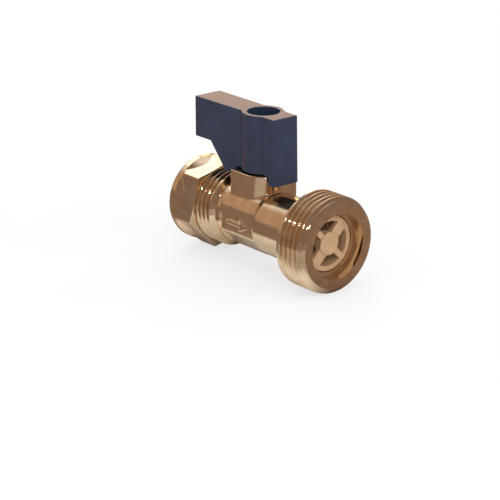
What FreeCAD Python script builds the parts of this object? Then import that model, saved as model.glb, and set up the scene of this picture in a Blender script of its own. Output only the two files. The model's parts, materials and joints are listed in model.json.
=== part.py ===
import FreeCAD, Part
import math
import os

import Sketcher

# Washing machine valve: a straight quarter-turn ball valve in brass with a 15 mm
# compression inlet, a 3/4 inch hose thread, a check valve in the outlet and a lever on top.
# Frame: X is the flow axis and points out of the outlet, Z is up along the stem, and the
# origin is where the end of the pipe stops inside the body. All lengths are millimetres.

os.makedirs("parts", exist_ok=True)
doc = FreeCAD.newDocument("washing_machine_valve")

# Driving dimensions

SIZES = (
    # pipe threads: pitch, crest radii, depth and the play between nut and body
    ("thread_pitch", 1.814),
    ("thread_depth", 1.162),
    ("inlet_crest_r", 10.48),
    ("outlet_crest_r", 13.22),
    ("thread_play", 0.1),
    # pipe socket, open towards -X
    ("pipe_bore_r", 7.55),
    ("socket_depth", 12.0),
    ("socket_cone", 2.0),
    ("inlet_chamfer", 0.8),
    ("inlet_first_groove", 3.257),
    ("inlet_neck_r", 8.85),
    ("inlet_neck_taper", 0.6),
    # octagonal block round the ball
    ("block_start", 0.6),
    ("block_length", 13.74),
    ("block_half", 8.24),
    ("outlet_neck_r", 8.7),
    # ball chamber with its seats
    ("web", 1.5),
    ("chamber_r", 7.1),
    ("seat_backing", 0.4),
    ("soft_seat_length", 3.0),
    ("ball_gap", 0.5),
    ("ball_wall", 2.6),
    ("soft_seat_step", 0.2),
    ("web_hole_step", 0.4),
    ("ball_play", 0.05),
    ("insert_fit", 0.05),
    ("retainer_gap", 1.6),
    ("retainer_slot", 1.6),
    ("retainer_slot_depth", 1.2),
    # outlet collar with the hose thread
    ("collar_start", 28.8),
    ("collar_length", 9.9),
    ("collar_chamfer", 0.4),
    ("outlet_face_r", 11.4),
    ("outlet_chamfer", 1.6),
    ("outlet_first_groove", 2.085),
    ("start_groove_back", 2.865),
    ("start_groove_half", 0.3),
    ("start_groove_depth", 0.5),
    ("mouth_r", 8.91),
    ("mouth_depth", 3.0),
    ("cage_bore_r", 8.0),
    ("cage_bore_depth", 3.6),
    # boss and stem
    ("boss_half", 6.42),
    ("boss_top", 13.75),
    ("stem_r", 3.3),
    ("stem_play", 0.1),
    ("stem_shoulder_r", 3.9),
    ("stem_shoulder_lift", 0.55),
    ("stem_shoulder_height", 0.8),
    ("thrust_washer_height", 0.5),
    ("tang_width", 2.4),
    ("tang_length", 7.4),
    ("tang_depth", 2.3),
    ("tang_play", 0.1),
    ("o_ring_section_r", 0.55),
    ("o_ring_groove", 1.3),
    ("lower_o_ring_drop", 3.95),
    ("upper_o_ring_drop", 1.75),
    ("drive_square", 4.6),
    ("drive_height", 5.3),
    ("drive_fit", 0.05),
    ("stem_tap_depth", 5.5),
    # arrow raised on the front of the block
    ("arrow_height", 0.28),
    ("arrow_line", 0.34),
    ("arrow_tail", 5.9),
    ("arrow_neck", 0.5),
    ("arrow_tip", 4.0),
    ("arrow_drop", 0.35),
    ("arrow_shaft_half", 0.78),
    ("arrow_head_half", 2.0),
    # compression nut
    ("nut_overlap", 3.9),
    ("nut_length", 10.3),
    ("nut_flats", 22.0),
    ("nut_collar_r", 12.1),
    ("nut_collar_length", 2.5),
    ("nut_collar_round", 0.8),
    ("nut_collar_slope", 1.1),
    ("nut_shoulder_length", 2.7),
    ("nut_front_r", 10.75),
    ("nut_front_chamfer", 0.5),
    ("nut_rim", 0.3),
    ("nut_mouth_chamfer", 0.75),
    ("nut_pipe_r", 7.7),
    # compression ring
    ("ring_insertion", 1.1),
    ("ring_land_r", 8.9),
    ("ring_land", 2.5),
    ("ring_lip", 0.4),
    ("ring_play", 0.05),
    # lever
    ("lever_lift", 0.45),
    ("lever_skirt", 2.45),
    ("lever_height", 16.05),
    ("lever_stop_play", 0.2),
    ("lever_leg", 2.75),
    ("lever_leg_draft", 0.45),
    ("lever_tab", 4.75),
    ("lever_arm", 24.1),
    ("lever_arm_half", 4.4),
    ("lever_neck_half", 4.15),
    ("lever_nose_half", 4.15),
    ("lever_arm_lift", 4.65),
    ("lever_arm_flat", 6.65),
    ("lever_barrel_r", 5.9),
    ("lever_blend_r", 1.2),
    ("lever_flat_x", 3.62),
    ("lever_flat_step", 0.3),
    ("lever_back_corner_x", 0.73),
    ("lever_back_corner_y", 4.46),
    ("lever_well_r", 4.4),
    ("lever_web", 1.3),
    ("lever_wall", 1.9),
    ("lever_roof", 2.5),
    ("lever_core_length", 8.9),
    ("lever_edge_round", 0.35),
    # lever screw and its washer
    ("screw_r", 1.4),
    ("screw_fit", 0.15),
    ("screw_length", 6.2),
    ("screw_point", 0.4),
    ("screw_head_r", 2.9),
    ("screw_head_height", 1.8),
    ("screw_head_round", 0.8),
    ("screw_cross", 0.8),
    ("screw_cross_half", 1.7),
    ("screw_cross_depth", 0.9),
    ("screw_washer_r", 3.6),
    ("screw_washer_height", 0.6),
    # check valve cage; cartridge_play is between the cartridge and the bore
    ("cartridge_play", 0.1),
    ("cage_r", 7.75),
    ("cage_wall", 0.8),
    ("cage_flange", 3.0),
    ("cage_edge", 0.3),
    ("cage_barrel", 4.6),
    ("hub_r", 3.24),
    ("hub_depth", 2.2),
    ("spoke_depth", 1.3),
    ("spoke_wide_half", 1.6),
    ("spoke_narrow_half", 0.8),
    ("guide_r", 2.1),
    ("guide_length", 6.1),
    ("guide_bore_r", 1.35),
    ("guide_bore_depth", 5.2),
    # check valve housing
    ("housing_length", 6.9),
    ("housing_floor", 2.0),
    ("housing_seat_width", 1.3),
    ("housing_joint", 0.1),
    ("spigot_length", 1.0),
    ("spigot_wall", 0.5),
    # check valve poppet, seal and spring
    ("poppet_gap", 0.7),
    ("poppet_disc", 0.95),
    ("poppet_rim", 1.7),
    ("poppet_nose_length", 2.0),
    ("poppet_stem_r", 1.2),
    ("poppet_stem_length", 6.4),
    ("seal_inset", 0.1),
    ("seal_height", 0.8),
    ("spring_r", 2.75),
    ("spring_wire_r", 0.2),
    ("spring_turns", 5.5),
)

sheet = doc.addObject("Spreadsheet::Sheet", "dim")
for row, (alias, size) in enumerate(SIZES, start=1):
    sheet.set(f"A{row}", alias)
    sheet.set(f"B{row}", str(size))
    sheet.setAlias(f"B{row}", alias)
doc.recompute()

THREAD_TAPER = f"{math.tan(math.radians(27.5)):.6f}"
TAN_30 = f"{math.tan(math.radians(30)):.6f}"
Y_AXIS = FreeCAD.Vector(0, 1, 0)
pieces = []

# Places worked out from the driving dimensions

BALL_R = "(dim.chamber_r - dim.ball_gap)"
SEAT_REACH = f"({BALL_R} + dim.seat_backing)"
BALL_X = f"(dim.web + {SEAT_REACH})"
BALL_BORE_R = f"({BALL_R} - dim.ball_wall)"
WEB_HOLE_R = f"({BALL_BORE_R} + dim.web_hole_step)"
MOUTH_X = "(-dim.socket_depth)"
OUTLET_X = "(dim.collar_start + dim.collar_length)"
CAGE_SHOULDER = f"({OUTLET_X} - dim.mouth_depth - dim.cage_bore_depth)"
CAGE_FRONT = f"({CAGE_SHOULDER} + dim.cage_flange)"
HUB_BACK = f"({CAGE_FRONT} - dim.hub_depth)"
BARREL_END = f"({CAGE_SHOULDER} - dim.cage_barrel)"
HOUSING_START = f"({BARREL_END} - dim.housing_length)"
VALVE_SEAT_X = f"({HOUSING_START} + dim.housing_floor)"
RETAINER_START = f"({BALL_X} + {SEAT_REACH})"
RETAINER_END = f"({HOUSING_START} - dim.retainer_gap)"
POPPET_BACK = f"({VALVE_SEAT_X} + dim.insert_fit + dim.seal_height)"
POPPET_FRONT = f"({POPPET_BACK} + dim.poppet_disc)"
SHOULDER_Z = f"({BALL_R} + dim.stem_shoulder_lift)"
LEDGE_Z = (f"({SHOULDER_Z} + dim.stem_shoulder_height + dim.ball_play"
           " + dim.thrust_washer_height)")
LEVER_FLOOR = "(dim.boss_top + dim.lever_lift)"
LEVER_TOP = f"({LEVER_FLOOR} + dim.lever_height)"
LEVER_BOTTOM = f"({LEVER_FLOOR} - dim.lever_skirt)"
STEM_TOP = f"({LEVER_FLOOR} + dim.drive_height)"
SOCKET_ROOF = f"({STEM_TOP} + dim.drive_fit)"
WELL_FLOOR = f"({SOCKET_ROOF} + dim.lever_web)"
SCREW_SEAT = f"({WELL_FLOOR} + dim.screw_washer_height)"
STEM_RING_R = "(dim.stem_r + dim.stem_play - dim.insert_fit - dim.o_ring_section_r)"
STEM_RING_FLOOR = f"({STEM_RING_R} - dim.o_ring_section_r - dim.insert_fit)"
CARTRIDGE_R = "(dim.chamber_r - dim.cartridge_play)"
CAGE_RING_R = f"({CARTRIDGE_R} - dim.cage_wall)"
SPIGOT_R = f"({CAGE_RING_R} - dim.housing_joint)"
CAVITY_R = f"({SPIGOT_R} - dim.spigot_wall)"
THROAT_R = f"({CAVITY_R} - dim.housing_seat_width)"
POPPET_R = f"({CAVITY_R} - dim.poppet_gap)"
POPPET_NOSE_R = f"({POPPET_R} - dim.poppet_rim)"
HOUSING_RING_R = "(dim.chamber_r - dim.insert_fit - dim.o_ring_section_r)"
HOUSING_RING_FLOOR = f"({HOUSING_RING_R} - dim.o_ring_section_r - dim.insert_fit)"
HOUSING_RING_X = f"({HOUSING_START} + dim.housing_floor / 2)"
NUT_FRONT = f"({MOUTH_X} + dim.nut_overlap)"
NUT_REAR = f"({NUT_FRONT} - dim.nut_length)"
NUT_BORE_R = "(dim.inlet_crest_r - dim.thread_depth + dim.thread_play)"
NUT_FIRST_GROOVE = "(-dim.inlet_first_groove - dim.thread_pitch * 3.5)"
RING_FRONT = f"({MOUTH_X} + dim.ring_insertion)"
RING_FRONT_R = (f"(dim.pipe_bore_r + (dim.socket_cone - dim.ring_insertion) * {TAN_30}"
                " - dim.ring_play)")
RING_LAND_X = f"({RING_FRONT} - (dim.ring_land_r - {RING_FRONT_R}) / {TAN_30})"
RING_LAND_END = f"({RING_LAND_X} - dim.ring_land)"
NUT_CONE = f"({RING_LAND_END} - dim.ring_land_r - 2 * dim.ring_play)"


def number(expression):
    """The value of an expression on the sheet of driving dimensions."""
    return float(sheet.evalExpression(expression))


def bind(item, **sizes):
    """Tie properties of an object to expressions on the sheet."""
    for name, expression in sizes.items():
        item.setExpression(name, expression)


def place(item, x="0", y="0", z="0", axis=None, angle=0.0):
    """Move an object to a bound place, turned about an axis."""
    if axis is not None:
        item.Placement = FreeCAD.Placement(FreeCAD.Vector(), FreeCAD.Rotation(axis, angle))
    for letter, expression in (("x", x), ("y", y), ("z", z)):
        item.setExpression(f".Placement.Base.{letter}", expression)


def finished(item, label):
    """Keep an object as one of the valve's pieces."""
    item.Label = label
    pieces.append(item)


# Sketches and features

def coordinate(sketch, geometry, end, axis, expression):
    """Fix one coordinate of a sketch point: on the origin's axis, or at a bound distance."""
    if expression == "0":
        other = -2 if axis == "X" else -1
        sketch.addConstraint(Sketcher.Constraint("PointOnObject", geometry, end, other))
        return
    value = number(expression)
    rule = Sketcher.Constraint("Distance" + axis, -1, 1, geometry, end, value)
    index = sketch.addConstraint(rule)
    sketch.setExpression(f"Constraints[{index}]", expression)


def draw_loop(sketch, items):
    """Draw one closed outline. A pair is a corner; ("arc", u, v, turn) between two corners
    joins them by an arc about (u, v), anticlockwise for turn 1 and clockwise for turn -1."""
    corners = [item for item in items if len(item) == 2]
    arcs = {}
    for index, item in enumerate(items):
        if len(item) == 4:
            arcs[sum(len(other) == 2 for other in items[:index]) - 1] = item
    spots = [FreeCAD.Vector(number(u), number(v), 0) for u, v in corners]
    edges = []
    for index, start in enumerate(spots):
        end = spots[(index + 1) % len(spots)]
        if index not in arcs:
            edges.append((sketch.addGeometry(Part.LineSegment(start, end), False), 1, 2))
            continue
        _, u, v, turn = arcs[index]
        centre = FreeCAD.Vector(number(u), number(v), 0)
        first, last = (start, end) if turn > 0 else (end, start)
        angles = [math.atan2(p.y - centre.y, p.x - centre.x) for p in (first, last)]
        circle = Part.Circle(centre, FreeCAD.Vector(0, 0, 1), (start - centre).Length)
        arc = sketch.addGeometry(Part.ArcOfCircle(circle, *angles), False)
        edges.append((arc, 1, 2) if turn > 0 else (arc, 2, 1))
    for index, (geometry, _, end) in enumerate(edges):
        following, start, _ = edges[(index + 1) % len(edges)]
        sketch.addConstraint(Sketcher.Constraint("Coincident", geometry, end, following, start))
    for (geometry, start, _), (u, v) in zip(edges, corners):
        coordinate(sketch, geometry, start, "X", u)
        coordinate(sketch, geometry, start, "Y", v)
    for index, (_, u, v, _) in arcs.items():
        coordinate(sketch, edges[index][0], 3, "X", u)


def outline(body, name, plane, *loops, offset=None, shift=None, turn=0.0):
    """A sketch on one of the body's origin planes: turned, shifted and moved off the plane."""
    sketch = body.newObject("Sketcher::SketchObject", name)
    face = [item for item in body.Origin.OriginFeatures if item.Role == plane][0]
    sketch.AttachmentSupport = (face, [""])
    sketch.MapMode = "FlatFace"
    rotation = FreeCAD.Rotation(FreeCAD.Vector(0, 0, 1), turn)
    sketch.AttachmentOffset = FreeCAD.Placement(FreeCAD.Vector(), rotation)
    if offset is not None:
        sketch.setExpression(".AttachmentOffset.Base.z", offset)
    if shift is not None:
        sketch.setExpression(".AttachmentOffset.Base.x", shift)
    for items in loops:
        draw_loop(sketch, items)
    doc.recompute()
    return sketch


def rectangle(left, right, low, high):
    """The corners of an upright rectangle."""
    return [(left, low), (right, low), (right, high), (left, high)]


def regular(count, half, first=0.5):
    """The corners of a regular outline whose flats lie at the distance half."""
    step = 2 * math.pi / count
    reach = f"{half} / {math.cos(step / 2):.9f}"
    angles = [(first + index) * step for index in range(count)]
    return [(f"{reach} * {math.cos(a):.9f}", f"{reach} * {math.sin(a):.9f}") for a in angles]


def feature(body, kind, name, sketch, **settings):
    """A sketch-based feature; each cut is checked to take metal away, each pad to add it."""
    before = body.Shape.Volume if body.Tip else 0.0
    item = body.newObject("PartDesign::" + kind, name)
    item.Profile = (sketch, [""])
    for key, value in settings.items():
        if isinstance(value, str) and key not in ("Type",):
            item.setExpression(key, value)
        else:
            setattr(item, key, value)
    doc.recompute()
    change = body.Shape.Volume - before
    cuts = kind in ("Pocket", "Groove")
    if (change >= 0) == cuts:
        raise RuntimeError(f"{name} changes the volume by {change:.3f} mm3")
    return item


def turned(body, kind, name, sketch, axis="H_Axis"):
    """A full revolution or groove about an axis of its sketch."""
    return feature(body, kind, name, sketch, ReferenceAxis=(sketch, [axis]), Angle=360.0)


def repeated(body, original, name, count, towards_inlet=False):
    """A thread groove repeated along the flow axis at the thread's pitch."""
    before = body.Shape.Volume
    pattern = body.newObject("PartDesign::LinearPattern", name)
    pattern.Originals = [original]
    pattern.Direction = (original.Profile[0], ["H_Axis"])
    pattern.Reversed = towards_inlet
    pattern.Occurrences = count
    pattern.setExpression("Length", f"dim.thread_pitch * {count - 1}")
    body.Tip = pattern
    doc.recompute()
    if body.Shape.Volume >= before:
        raise RuntimeError(f"{name} cuts nothing")
    return pattern


def edges_where(shape, test):
    """The names of the edges that pass a test on their two ends and middle."""
    names = []
    for index, edge in enumerate(shape.Edges, start=1):
        low, high = edge.ParameterRange
        points = [edge.valueAt(low), edge.valueAt((low + high) / 2), edge.valueAt(high)]
        if test(points):
            names.append(f"Edge{index}")
    return names


def rounded(body, kind, name, size, test):
    """A fillet or a chamfer on the edges of the body that pass a test."""
    base = body.Tip
    names = edges_where(base.Shape, test)
    if not names:
        raise RuntimeError(f"{name} finds no edge")
    item = body.newObject("PartDesign::" + kind, name)
    item.Base = (base, names)
    item.setExpression("Radius" if kind == "Fillet" else "Size", size)
    doc.recompute()
    return item


def new_body(name, at_stem=False):
    """A PartDesign body, in the valve's frame or with its own Z on the stem's axis."""
    body = doc.addObject("PartDesign::Body", name)
    if at_stem:
        place(body, x=BALL_X)
    return body


# Plain solids and booleans

def solid(kind, name, x="0", y="0", z="0", axis=None, angle=0.0, **sizes):
    """A primitive with bound sizes at a bound place."""
    item = doc.addObject("Part::" + kind, name)
    bind(item, **sizes)
    place(item, x, y, z, axis, angle)
    return item


def rod(name, start, length, radius):
    """A cylinder along the flow axis."""
    return solid("Cylinder", name, start, axis=Y_AXIS, angle=90.0, Height=length, Radius=radius)


def post(name, bottom, height, radius):
    """A cylinder on the stem's axis."""
    return solid("Cylinder", name, BALL_X, z=bottom, Height=height, Radius=radius)


def minus(name, base, *tools):
    """One solid with others taken out of it."""
    for index, tool in enumerate(tools):
        last = index == len(tools) - 1
        cut = doc.addObject("Part::Cut", name if last else f"{name}_{index}")
        cut.Base = base
        cut.Tool = tool
        base = cut
    return base


def thread_groove(body, name, centre, crest_r):
    """A 55 degree groove across an outside thread, with a flat floor."""
    floor = f"({crest_r} - dim.thread_depth)"
    rim = f"({crest_r} + dim.thread_play)"
    rim_half = f"(dim.thread_pitch / 12 + ({rim} - {floor}) * {THREAD_TAPER})"
    sketch = outline(body, name + "_outline", "XZ_Plane", [
        (f"{centre} - {rim_half}", rim),
        (f"{centre} - dim.thread_pitch / 12", floor),
        (f"{centre} + dim.thread_pitch / 12", floor),
        (f"{centre} + {rim_half}", rim),
    ])
    return turned(body, "Groove", name, sketch)


# Valve body

def make_valve_body():
    """The forged and turned brass body: threads, necks, block, boss, arrow and bores."""
    body = new_body("valve_body_solid")
    crest = "dim.inlet_crest_r"
    land_end = "(-dim.inlet_first_groove + dim.thread_pitch * 7 / 12)"
    flank = f"({crest} - dim.inlet_neck_r) * {THREAD_TAPER}"
    block_end = "(dim.block_start + dim.block_length)"
    core = "(dim.chamber_r + (dim.block_half - dim.chamber_r) / 2)"
    skin = outline(body, "turned_outline", "XZ_Plane", [
        (MOUTH_X, "0"),
        (MOUTH_X, f"{crest} - dim.inlet_chamfer"),
        (f"{MOUTH_X} + dim.inlet_chamfer", crest),
        (land_end, crest),
        (f"{land_end} + {flank}", "dim.inlet_neck_r"),
        ("dim.block_start - dim.inlet_neck_taper / 2", "dim.inlet_neck_r"),
        ("dim.block_start + dim.inlet_neck_taper / 2", core),
        (block_end, core),
        (block_end, "dim.outlet_neck_r"),
        ("dim.collar_start", "dim.outlet_neck_r"),
        ("dim.collar_start", "dim.outlet_crest_r - dim.collar_chamfer"),
        ("dim.collar_start + dim.collar_chamfer", "dim.outlet_crest_r"),
        (f"{OUTLET_X} - dim.outlet_chamfer", "dim.outlet_crest_r"),
        (OUTLET_X, "dim.outlet_face_r"),
        (OUTLET_X, "0"),
    ])
    turned(body, "Revolution", "turned_outside", skin)

    block = outline(body, "block_outline", "YZ_Plane", regular(8, "dim.block_half"),
                    offset="dim.block_start")
    feature(body, "Pad", "octagonal_block", block, Length="dim.block_length")

    right = f"{BALL_X} + dim.boss_half"
    left = f"{BALL_X} - dim.boss_half"
    boss = outline(body, "boss_outline", "XY_Plane", [
        (right, "dim.boss_half"),
        (BALL_X, "dim.boss_half"),
        ("arc", BALL_X, "0", 1),
        (left, "0"),
        (left, "-dim.boss_half"),
        (BALL_X, "-dim.boss_half"),
        ("arc", BALL_X, "0", 1),
        (right, "0"),
    ])
    feature(body, "Pad", "stem_boss", boss, Length="dim.boss_top")
    make_arrow(body)

    inlet = thread_groove(body, "inlet_thread", "-dim.inlet_first_groove", crest)
    repeated(body, inlet, "inlet_threads", 5, towards_inlet=True)
    first = "(dim.collar_start + dim.outlet_first_groove)"
    hose = thread_groove(body, "hose_thread", first, "dim.outlet_crest_r")
    repeated(body, hose, "hose_threads", 3)
    centre = f"({OUTLET_X} - dim.start_groove_back)"
    start = outline(body, "start_groove_outline", "XZ_Plane", [
        (f"{centre} - dim.start_groove_half", "dim.outlet_crest_r + dim.thread_play"),
        (centre, "dim.outlet_crest_r - dim.start_groove_depth"),
        (f"{centre} + dim.start_groove_half", "dim.outlet_crest_r + dim.thread_play"),
    ])
    turned(body, "Groove", "thread_start", start)

    bores = outline(body, "bore_outline", "XZ_Plane", [
        (MOUTH_X, "0"),
        (MOUTH_X, f"dim.pipe_bore_r + dim.socket_cone * {TAN_30}"),
        (f"{MOUTH_X} + dim.socket_cone", "dim.pipe_bore_r"),
        ("0", "dim.pipe_bore_r"),
        ("0", WEB_HOLE_R),
        ("dim.web", WEB_HOLE_R),
        ("dim.web", "dim.chamber_r"),
        (CAGE_SHOULDER, "dim.chamber_r"),
        (CAGE_SHOULDER, "dim.cage_bore_r"),
        (f"{OUTLET_X} - dim.mouth_depth", "dim.cage_bore_r"),
        (f"{OUTLET_X} - dim.mouth_depth", "dim.mouth_r"),
        (OUTLET_X, "dim.mouth_r"),
        (OUTLET_X, "0"),
    ])
    turned(body, "Groove", "bores", bores)

    shoulder = "dim.stem_shoulder_r + dim.stem_play"
    hole = outline(body, "stem_hole_outline", "XZ_Plane", [
        ("0", "dim.chamber_r / 2"),
        (shoulder, "dim.chamber_r / 2"),
        (shoulder, LEDGE_Z),
        ("dim.stem_r + dim.stem_play", LEDGE_Z),
        ("dim.stem_r + dim.stem_play", "dim.boss_top"),
        ("0", "dim.boss_top"),
    ], shift=BALL_X)
    turned(body, "Groove", "stem_hole", hole, axis="V_Axis")
    return body


def make_arrow(body):
    """A flow arrow raised on the front flat of the block as a thin line."""
    line = "dim.arrow_line"
    head = "(dim.arrow_tip + dim.arrow_neck)"
    slant = f"sqrt({head}^2 + dim.arrow_head_half^2)"
    inner_head = f"dim.arrow_head_half * (1 - {line} / {head}) - {line} * {slant} / {head}"
    inner_tip = f"dim.arrow_tip - {line} * {slant} / dim.arrow_head_half"
    outer = ("-dim.arrow_tail", "-dim.arrow_neck", "dim.arrow_shaft_half",
             "dim.arrow_head_half", "dim.arrow_tip")
    inner = (f"-dim.arrow_tail + {line}", f"-dim.arrow_neck + {line}",
             f"dim.arrow_shaft_half - {line}", inner_head, inner_tip)
    loops = []
    for tail, neck, shaft, barb, tip in (outer, inner):
        lower = [(tail, shaft), (neck, shaft), (neck, barb)]
        loops.append([(f"{BALL_X} + {u}", f"-dim.arrow_drop - ({v})") for u, v in lower]
                     + [(f"{BALL_X} + {tip}", "-dim.arrow_drop")]
                     + [(f"{BALL_X} + {u}", f"-dim.arrow_drop + {v}") for u, v in lower[::-1]])
    sketch = outline(body, "arrow_outline", "XZ_Plane", *loops,
                     offset="dim.block_half - dim.arrow_line")
    feature(body, "Pad", "arrow", sketch, Length="dim.arrow_line + dim.arrow_height")


# Pipe connection

def make_compression_nut():
    """A hexagon nut with a round collar, an inside thread and a cone for the ring."""
    body = new_body("compression_nut_solid")
    corner = f"dim.nut_flats / 2 / {math.cos(math.pi / 6):.6f}"
    flats_start = f"({NUT_REAR} + dim.nut_collar_length)"
    edge = f"{NUT_REAR} + dim.nut_collar_round"
    skin = outline(body, "nut_outline", "XZ_Plane", [
        (NUT_REAR, "dim.nut_pipe_r"),
        (NUT_REAR, "dim.nut_collar_r - dim.nut_collar_round"),
        ("arc", edge, "dim.nut_collar_r - dim.nut_collar_round", -1),
        (edge, "dim.nut_collar_r"),
        (flats_start, "dim.nut_collar_r"),
        (f"{flats_start} + dim.nut_collar_slope", corner),
        (f"{NUT_FRONT} - dim.nut_front_chamfer", corner),
        (NUT_FRONT, "dim.nut_front_r"),
        (NUT_FRONT, "dim.nut_front_r - dim.nut_rim"),
        (f"{NUT_FRONT} - dim.nut_mouth_chamfer", NUT_BORE_R),
        (f"{NUT_BORE_R} + {NUT_CONE}", NUT_BORE_R),
        (f"dim.nut_pipe_r + {NUT_CONE}", "dim.nut_pipe_r"),
    ])
    turned(body, "Revolution", "nut_turned", skin)
    reach = "dim.nut_flats"
    flats = outline(body, "nut_flats_outline", "YZ_Plane",
                    rectangle(f"-{reach}", reach, f"-{reach}", reach),
                    regular(6, "dim.nut_flats / 2", first=0.25), offset=flats_start)
    feature(body, "Pocket", "nut_hexagon", flats, Reversed=True, Length="dim.nut_length")
    half = "dim.nut_flats / 2"
    cone_end = f"({flats_start} + dim.nut_shoulder_length)"
    cone = outline(body, "nut_shoulder_outline", "XZ_Plane", [
        (flats_start, f"{half} - dim.nut_collar_round"),
        (flats_start, "dim.nut_collar_r"),
        (cone_end, half),
        (cone_end, f"{half} - dim.nut_collar_round"),
    ])
    turned(body, "Revolution", "nut_shoulder", cone)
    floor = "dim.inlet_crest_r + dim.thread_play"
    rim = f"({NUT_BORE_R} - dim.thread_play)"
    floor_half = "(dim.thread_pitch / 12 + dim.thread_play)"
    rim_half = f"({floor_half} + ({floor} - {rim}) * {THREAD_TAPER})"
    groove = outline(body, "nut_thread_outline", "XZ_Plane", [
        (f"{NUT_FIRST_GROOVE} - {rim_half}", rim),
        (f"{NUT_FIRST_GROOVE} - {floor_half}", floor),
        (f"{NUT_FIRST_GROOVE} + {floor_half}", floor),
        (f"{NUT_FIRST_GROOVE} + {rim_half}", rim),
    ])
    thread = turned(body, "Groove", "nut_thread", groove)
    repeated(body, thread, "nut_threads", 2, towards_inlet=True)
    return body


def make_compression_ring():
    """The brass ring that the nut presses into the body's cone and round the pipe."""
    body = new_body("compression_ring_solid")
    lip = "dim.pipe_bore_r + dim.ring_lip"
    back = f"({RING_LAND_END} - (dim.ring_land_r - ({lip})))"
    section = outline(body, "ring_outline", "XZ_Plane", [
        (RING_FRONT, "dim.pipe_bore_r"),
        (RING_FRONT, RING_FRONT_R),
        (RING_LAND_X, "dim.ring_land_r"),
        (RING_LAND_END, "dim.ring_land_r"),
        (back, lip),
        (back, "dim.pipe_bore_r"),
    ])
    turned(body, "Revolution", "ring_turned", section)
    return body


# Ball and its seats

def make_ball():
    """The ball with its bore along the flow and a slot across it for the stem's tang."""
    ball = solid("Sphere", "ball_sphere", BALL_X, Radius=BALL_R)
    bore = rod("ball_bore", f"{BALL_X} - {BALL_R}", f"2 * {BALL_R}", BALL_BORE_R)
    width = "(dim.tang_width + 2 * dim.tang_play)"
    slot = solid("Box", "ball_slot", f"{BALL_X} - {width} / 2", f"-{BALL_R}",
                 f"{SHOULDER_Z} - dim.tang_depth - dim.tang_play",
                 Length=width, Width=f"2 * {BALL_R}", Height=BALL_R)
    return minus("ball_cut", ball, bore, slot)


def make_soft_seat(name, start):
    """A PTFE ring whose face is hollowed to the ball."""
    ring = rod(name + "_ring", start, "dim.soft_seat_length", "dim.chamber_r - dim.insert_fit")
    hole = rod(name + "_hole", start, "dim.soft_seat_length",
               f"{BALL_BORE_R} + dim.soft_seat_step")
    ball = solid("Sphere", name + "_hollow", BALL_X, Radius=f"{BALL_R} + dim.ball_play")
    return minus(name + "_cut", ring, hole, ball)


def make_seat_retainer():
    """The brass ring that holds the outlet seat, with a slot across it for the tool."""
    length = f"{RETAINER_END} - {RETAINER_START}"
    ring = rod("retainer_ring", RETAINER_START, length, "dim.chamber_r - dim.insert_fit")
    hole = rod("retainer_hole", RETAINER_START, length, WEB_HOLE_R)
    slot = solid("Box", "retainer_slots", f"{RETAINER_END} - dim.retainer_slot_depth",
                 "-dim.chamber_r", "-dim.retainer_slot / 2", Length="dim.retainer_slot_depth",
                 Width="2 * dim.chamber_r", Height="dim.retainer_slot")
    return minus("retainer_cut", ring, hole, slot)


# Stem

def make_stem():
    """The stem: tang, shoulder, two ring grooves, square drive and tapped top."""
    body = new_body("stem_solid", at_stem=True)
    neck_top = f"{LEVER_FLOOR} - dim.stem_play"
    skin = outline(body, "stem_outline", "XZ_Plane", [
        ("0", SHOULDER_Z),
        ("dim.stem_shoulder_r", SHOULDER_Z),
        ("dim.stem_shoulder_r", f"{SHOULDER_Z} + dim.stem_shoulder_height"),
        ("dim.stem_r", f"{SHOULDER_Z} + dim.stem_shoulder_height"),
        ("dim.stem_r", neck_top),
        ("0", neck_top),
    ])
    turned(body, "Revolution", "stem_turned", skin, axis="V_Axis")
    half = "dim.drive_square / 2"
    square = outline(body, "drive_outline", "XY_Plane",
                     rectangle(f"-{half}", half, f"-{half}", half), offset="dim.boss_top")
    feature(body, "Pad", "square_drive", square, Length=f"{STEM_TOP} - dim.boss_top")
    tang = outline(body, "tang_outline", "XY_Plane",
                   rectangle("-dim.tang_width / 2", "dim.tang_width / 2",
                             "-dim.tang_length / 2", "dim.tang_length / 2"),
                   offset=f"{SHOULDER_Z} - dim.tang_depth")
    feature(body, "Pad", "tang", tang, Length="dim.tang_depth + dim.stem_shoulder_height / 2")
    half = "dim.o_ring_groove / 2"
    for name, drop in (("lower_groove", "dim.lower_o_ring_drop"),
                       ("upper_groove", "dim.upper_o_ring_drop")):
        middle = f"(dim.boss_top - {drop})"
        groove = outline(body, name + "_outline", "XZ_Plane", rectangle(
            STEM_RING_FLOOR, "dim.stem_r + dim.stem_play", f"{middle} - {half}",
            f"{middle} + {half}"))
        turned(body, "Groove", name, groove, axis="V_Axis")
    tap = outline(body, "tap_outline", "XZ_Plane", rectangle(
        "0", "dim.screw_r + dim.insert_fit", f"{STEM_TOP} - dim.stem_tap_depth", STEM_TOP))
    turned(body, "Groove", "tapped_hole", tap, axis="V_Axis")
    return body


def make_thrust_washer():
    """The PTFE washer between the stem's shoulder and the ledge in the boss."""
    bottom = f"{LEDGE_Z} - dim.thrust_washer_height"
    disc = post("thrust_disc", bottom, "dim.thrust_washer_height", "dim.stem_shoulder_r")
    hole = post("thrust_hole", bottom, "dim.thrust_washer_height", "dim.stem_r + dim.stem_play")
    return minus("thrust_cut", disc, hole)


def make_stem_o_ring(name, drop):
    """A rubber ring in one of the stem's grooves."""
    return solid("Torus", name, BALL_X, z=f"dim.boss_top - {drop}", Radius1=STEM_RING_R,
                 Radius2="dim.o_ring_section_r")


# Lever

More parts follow.
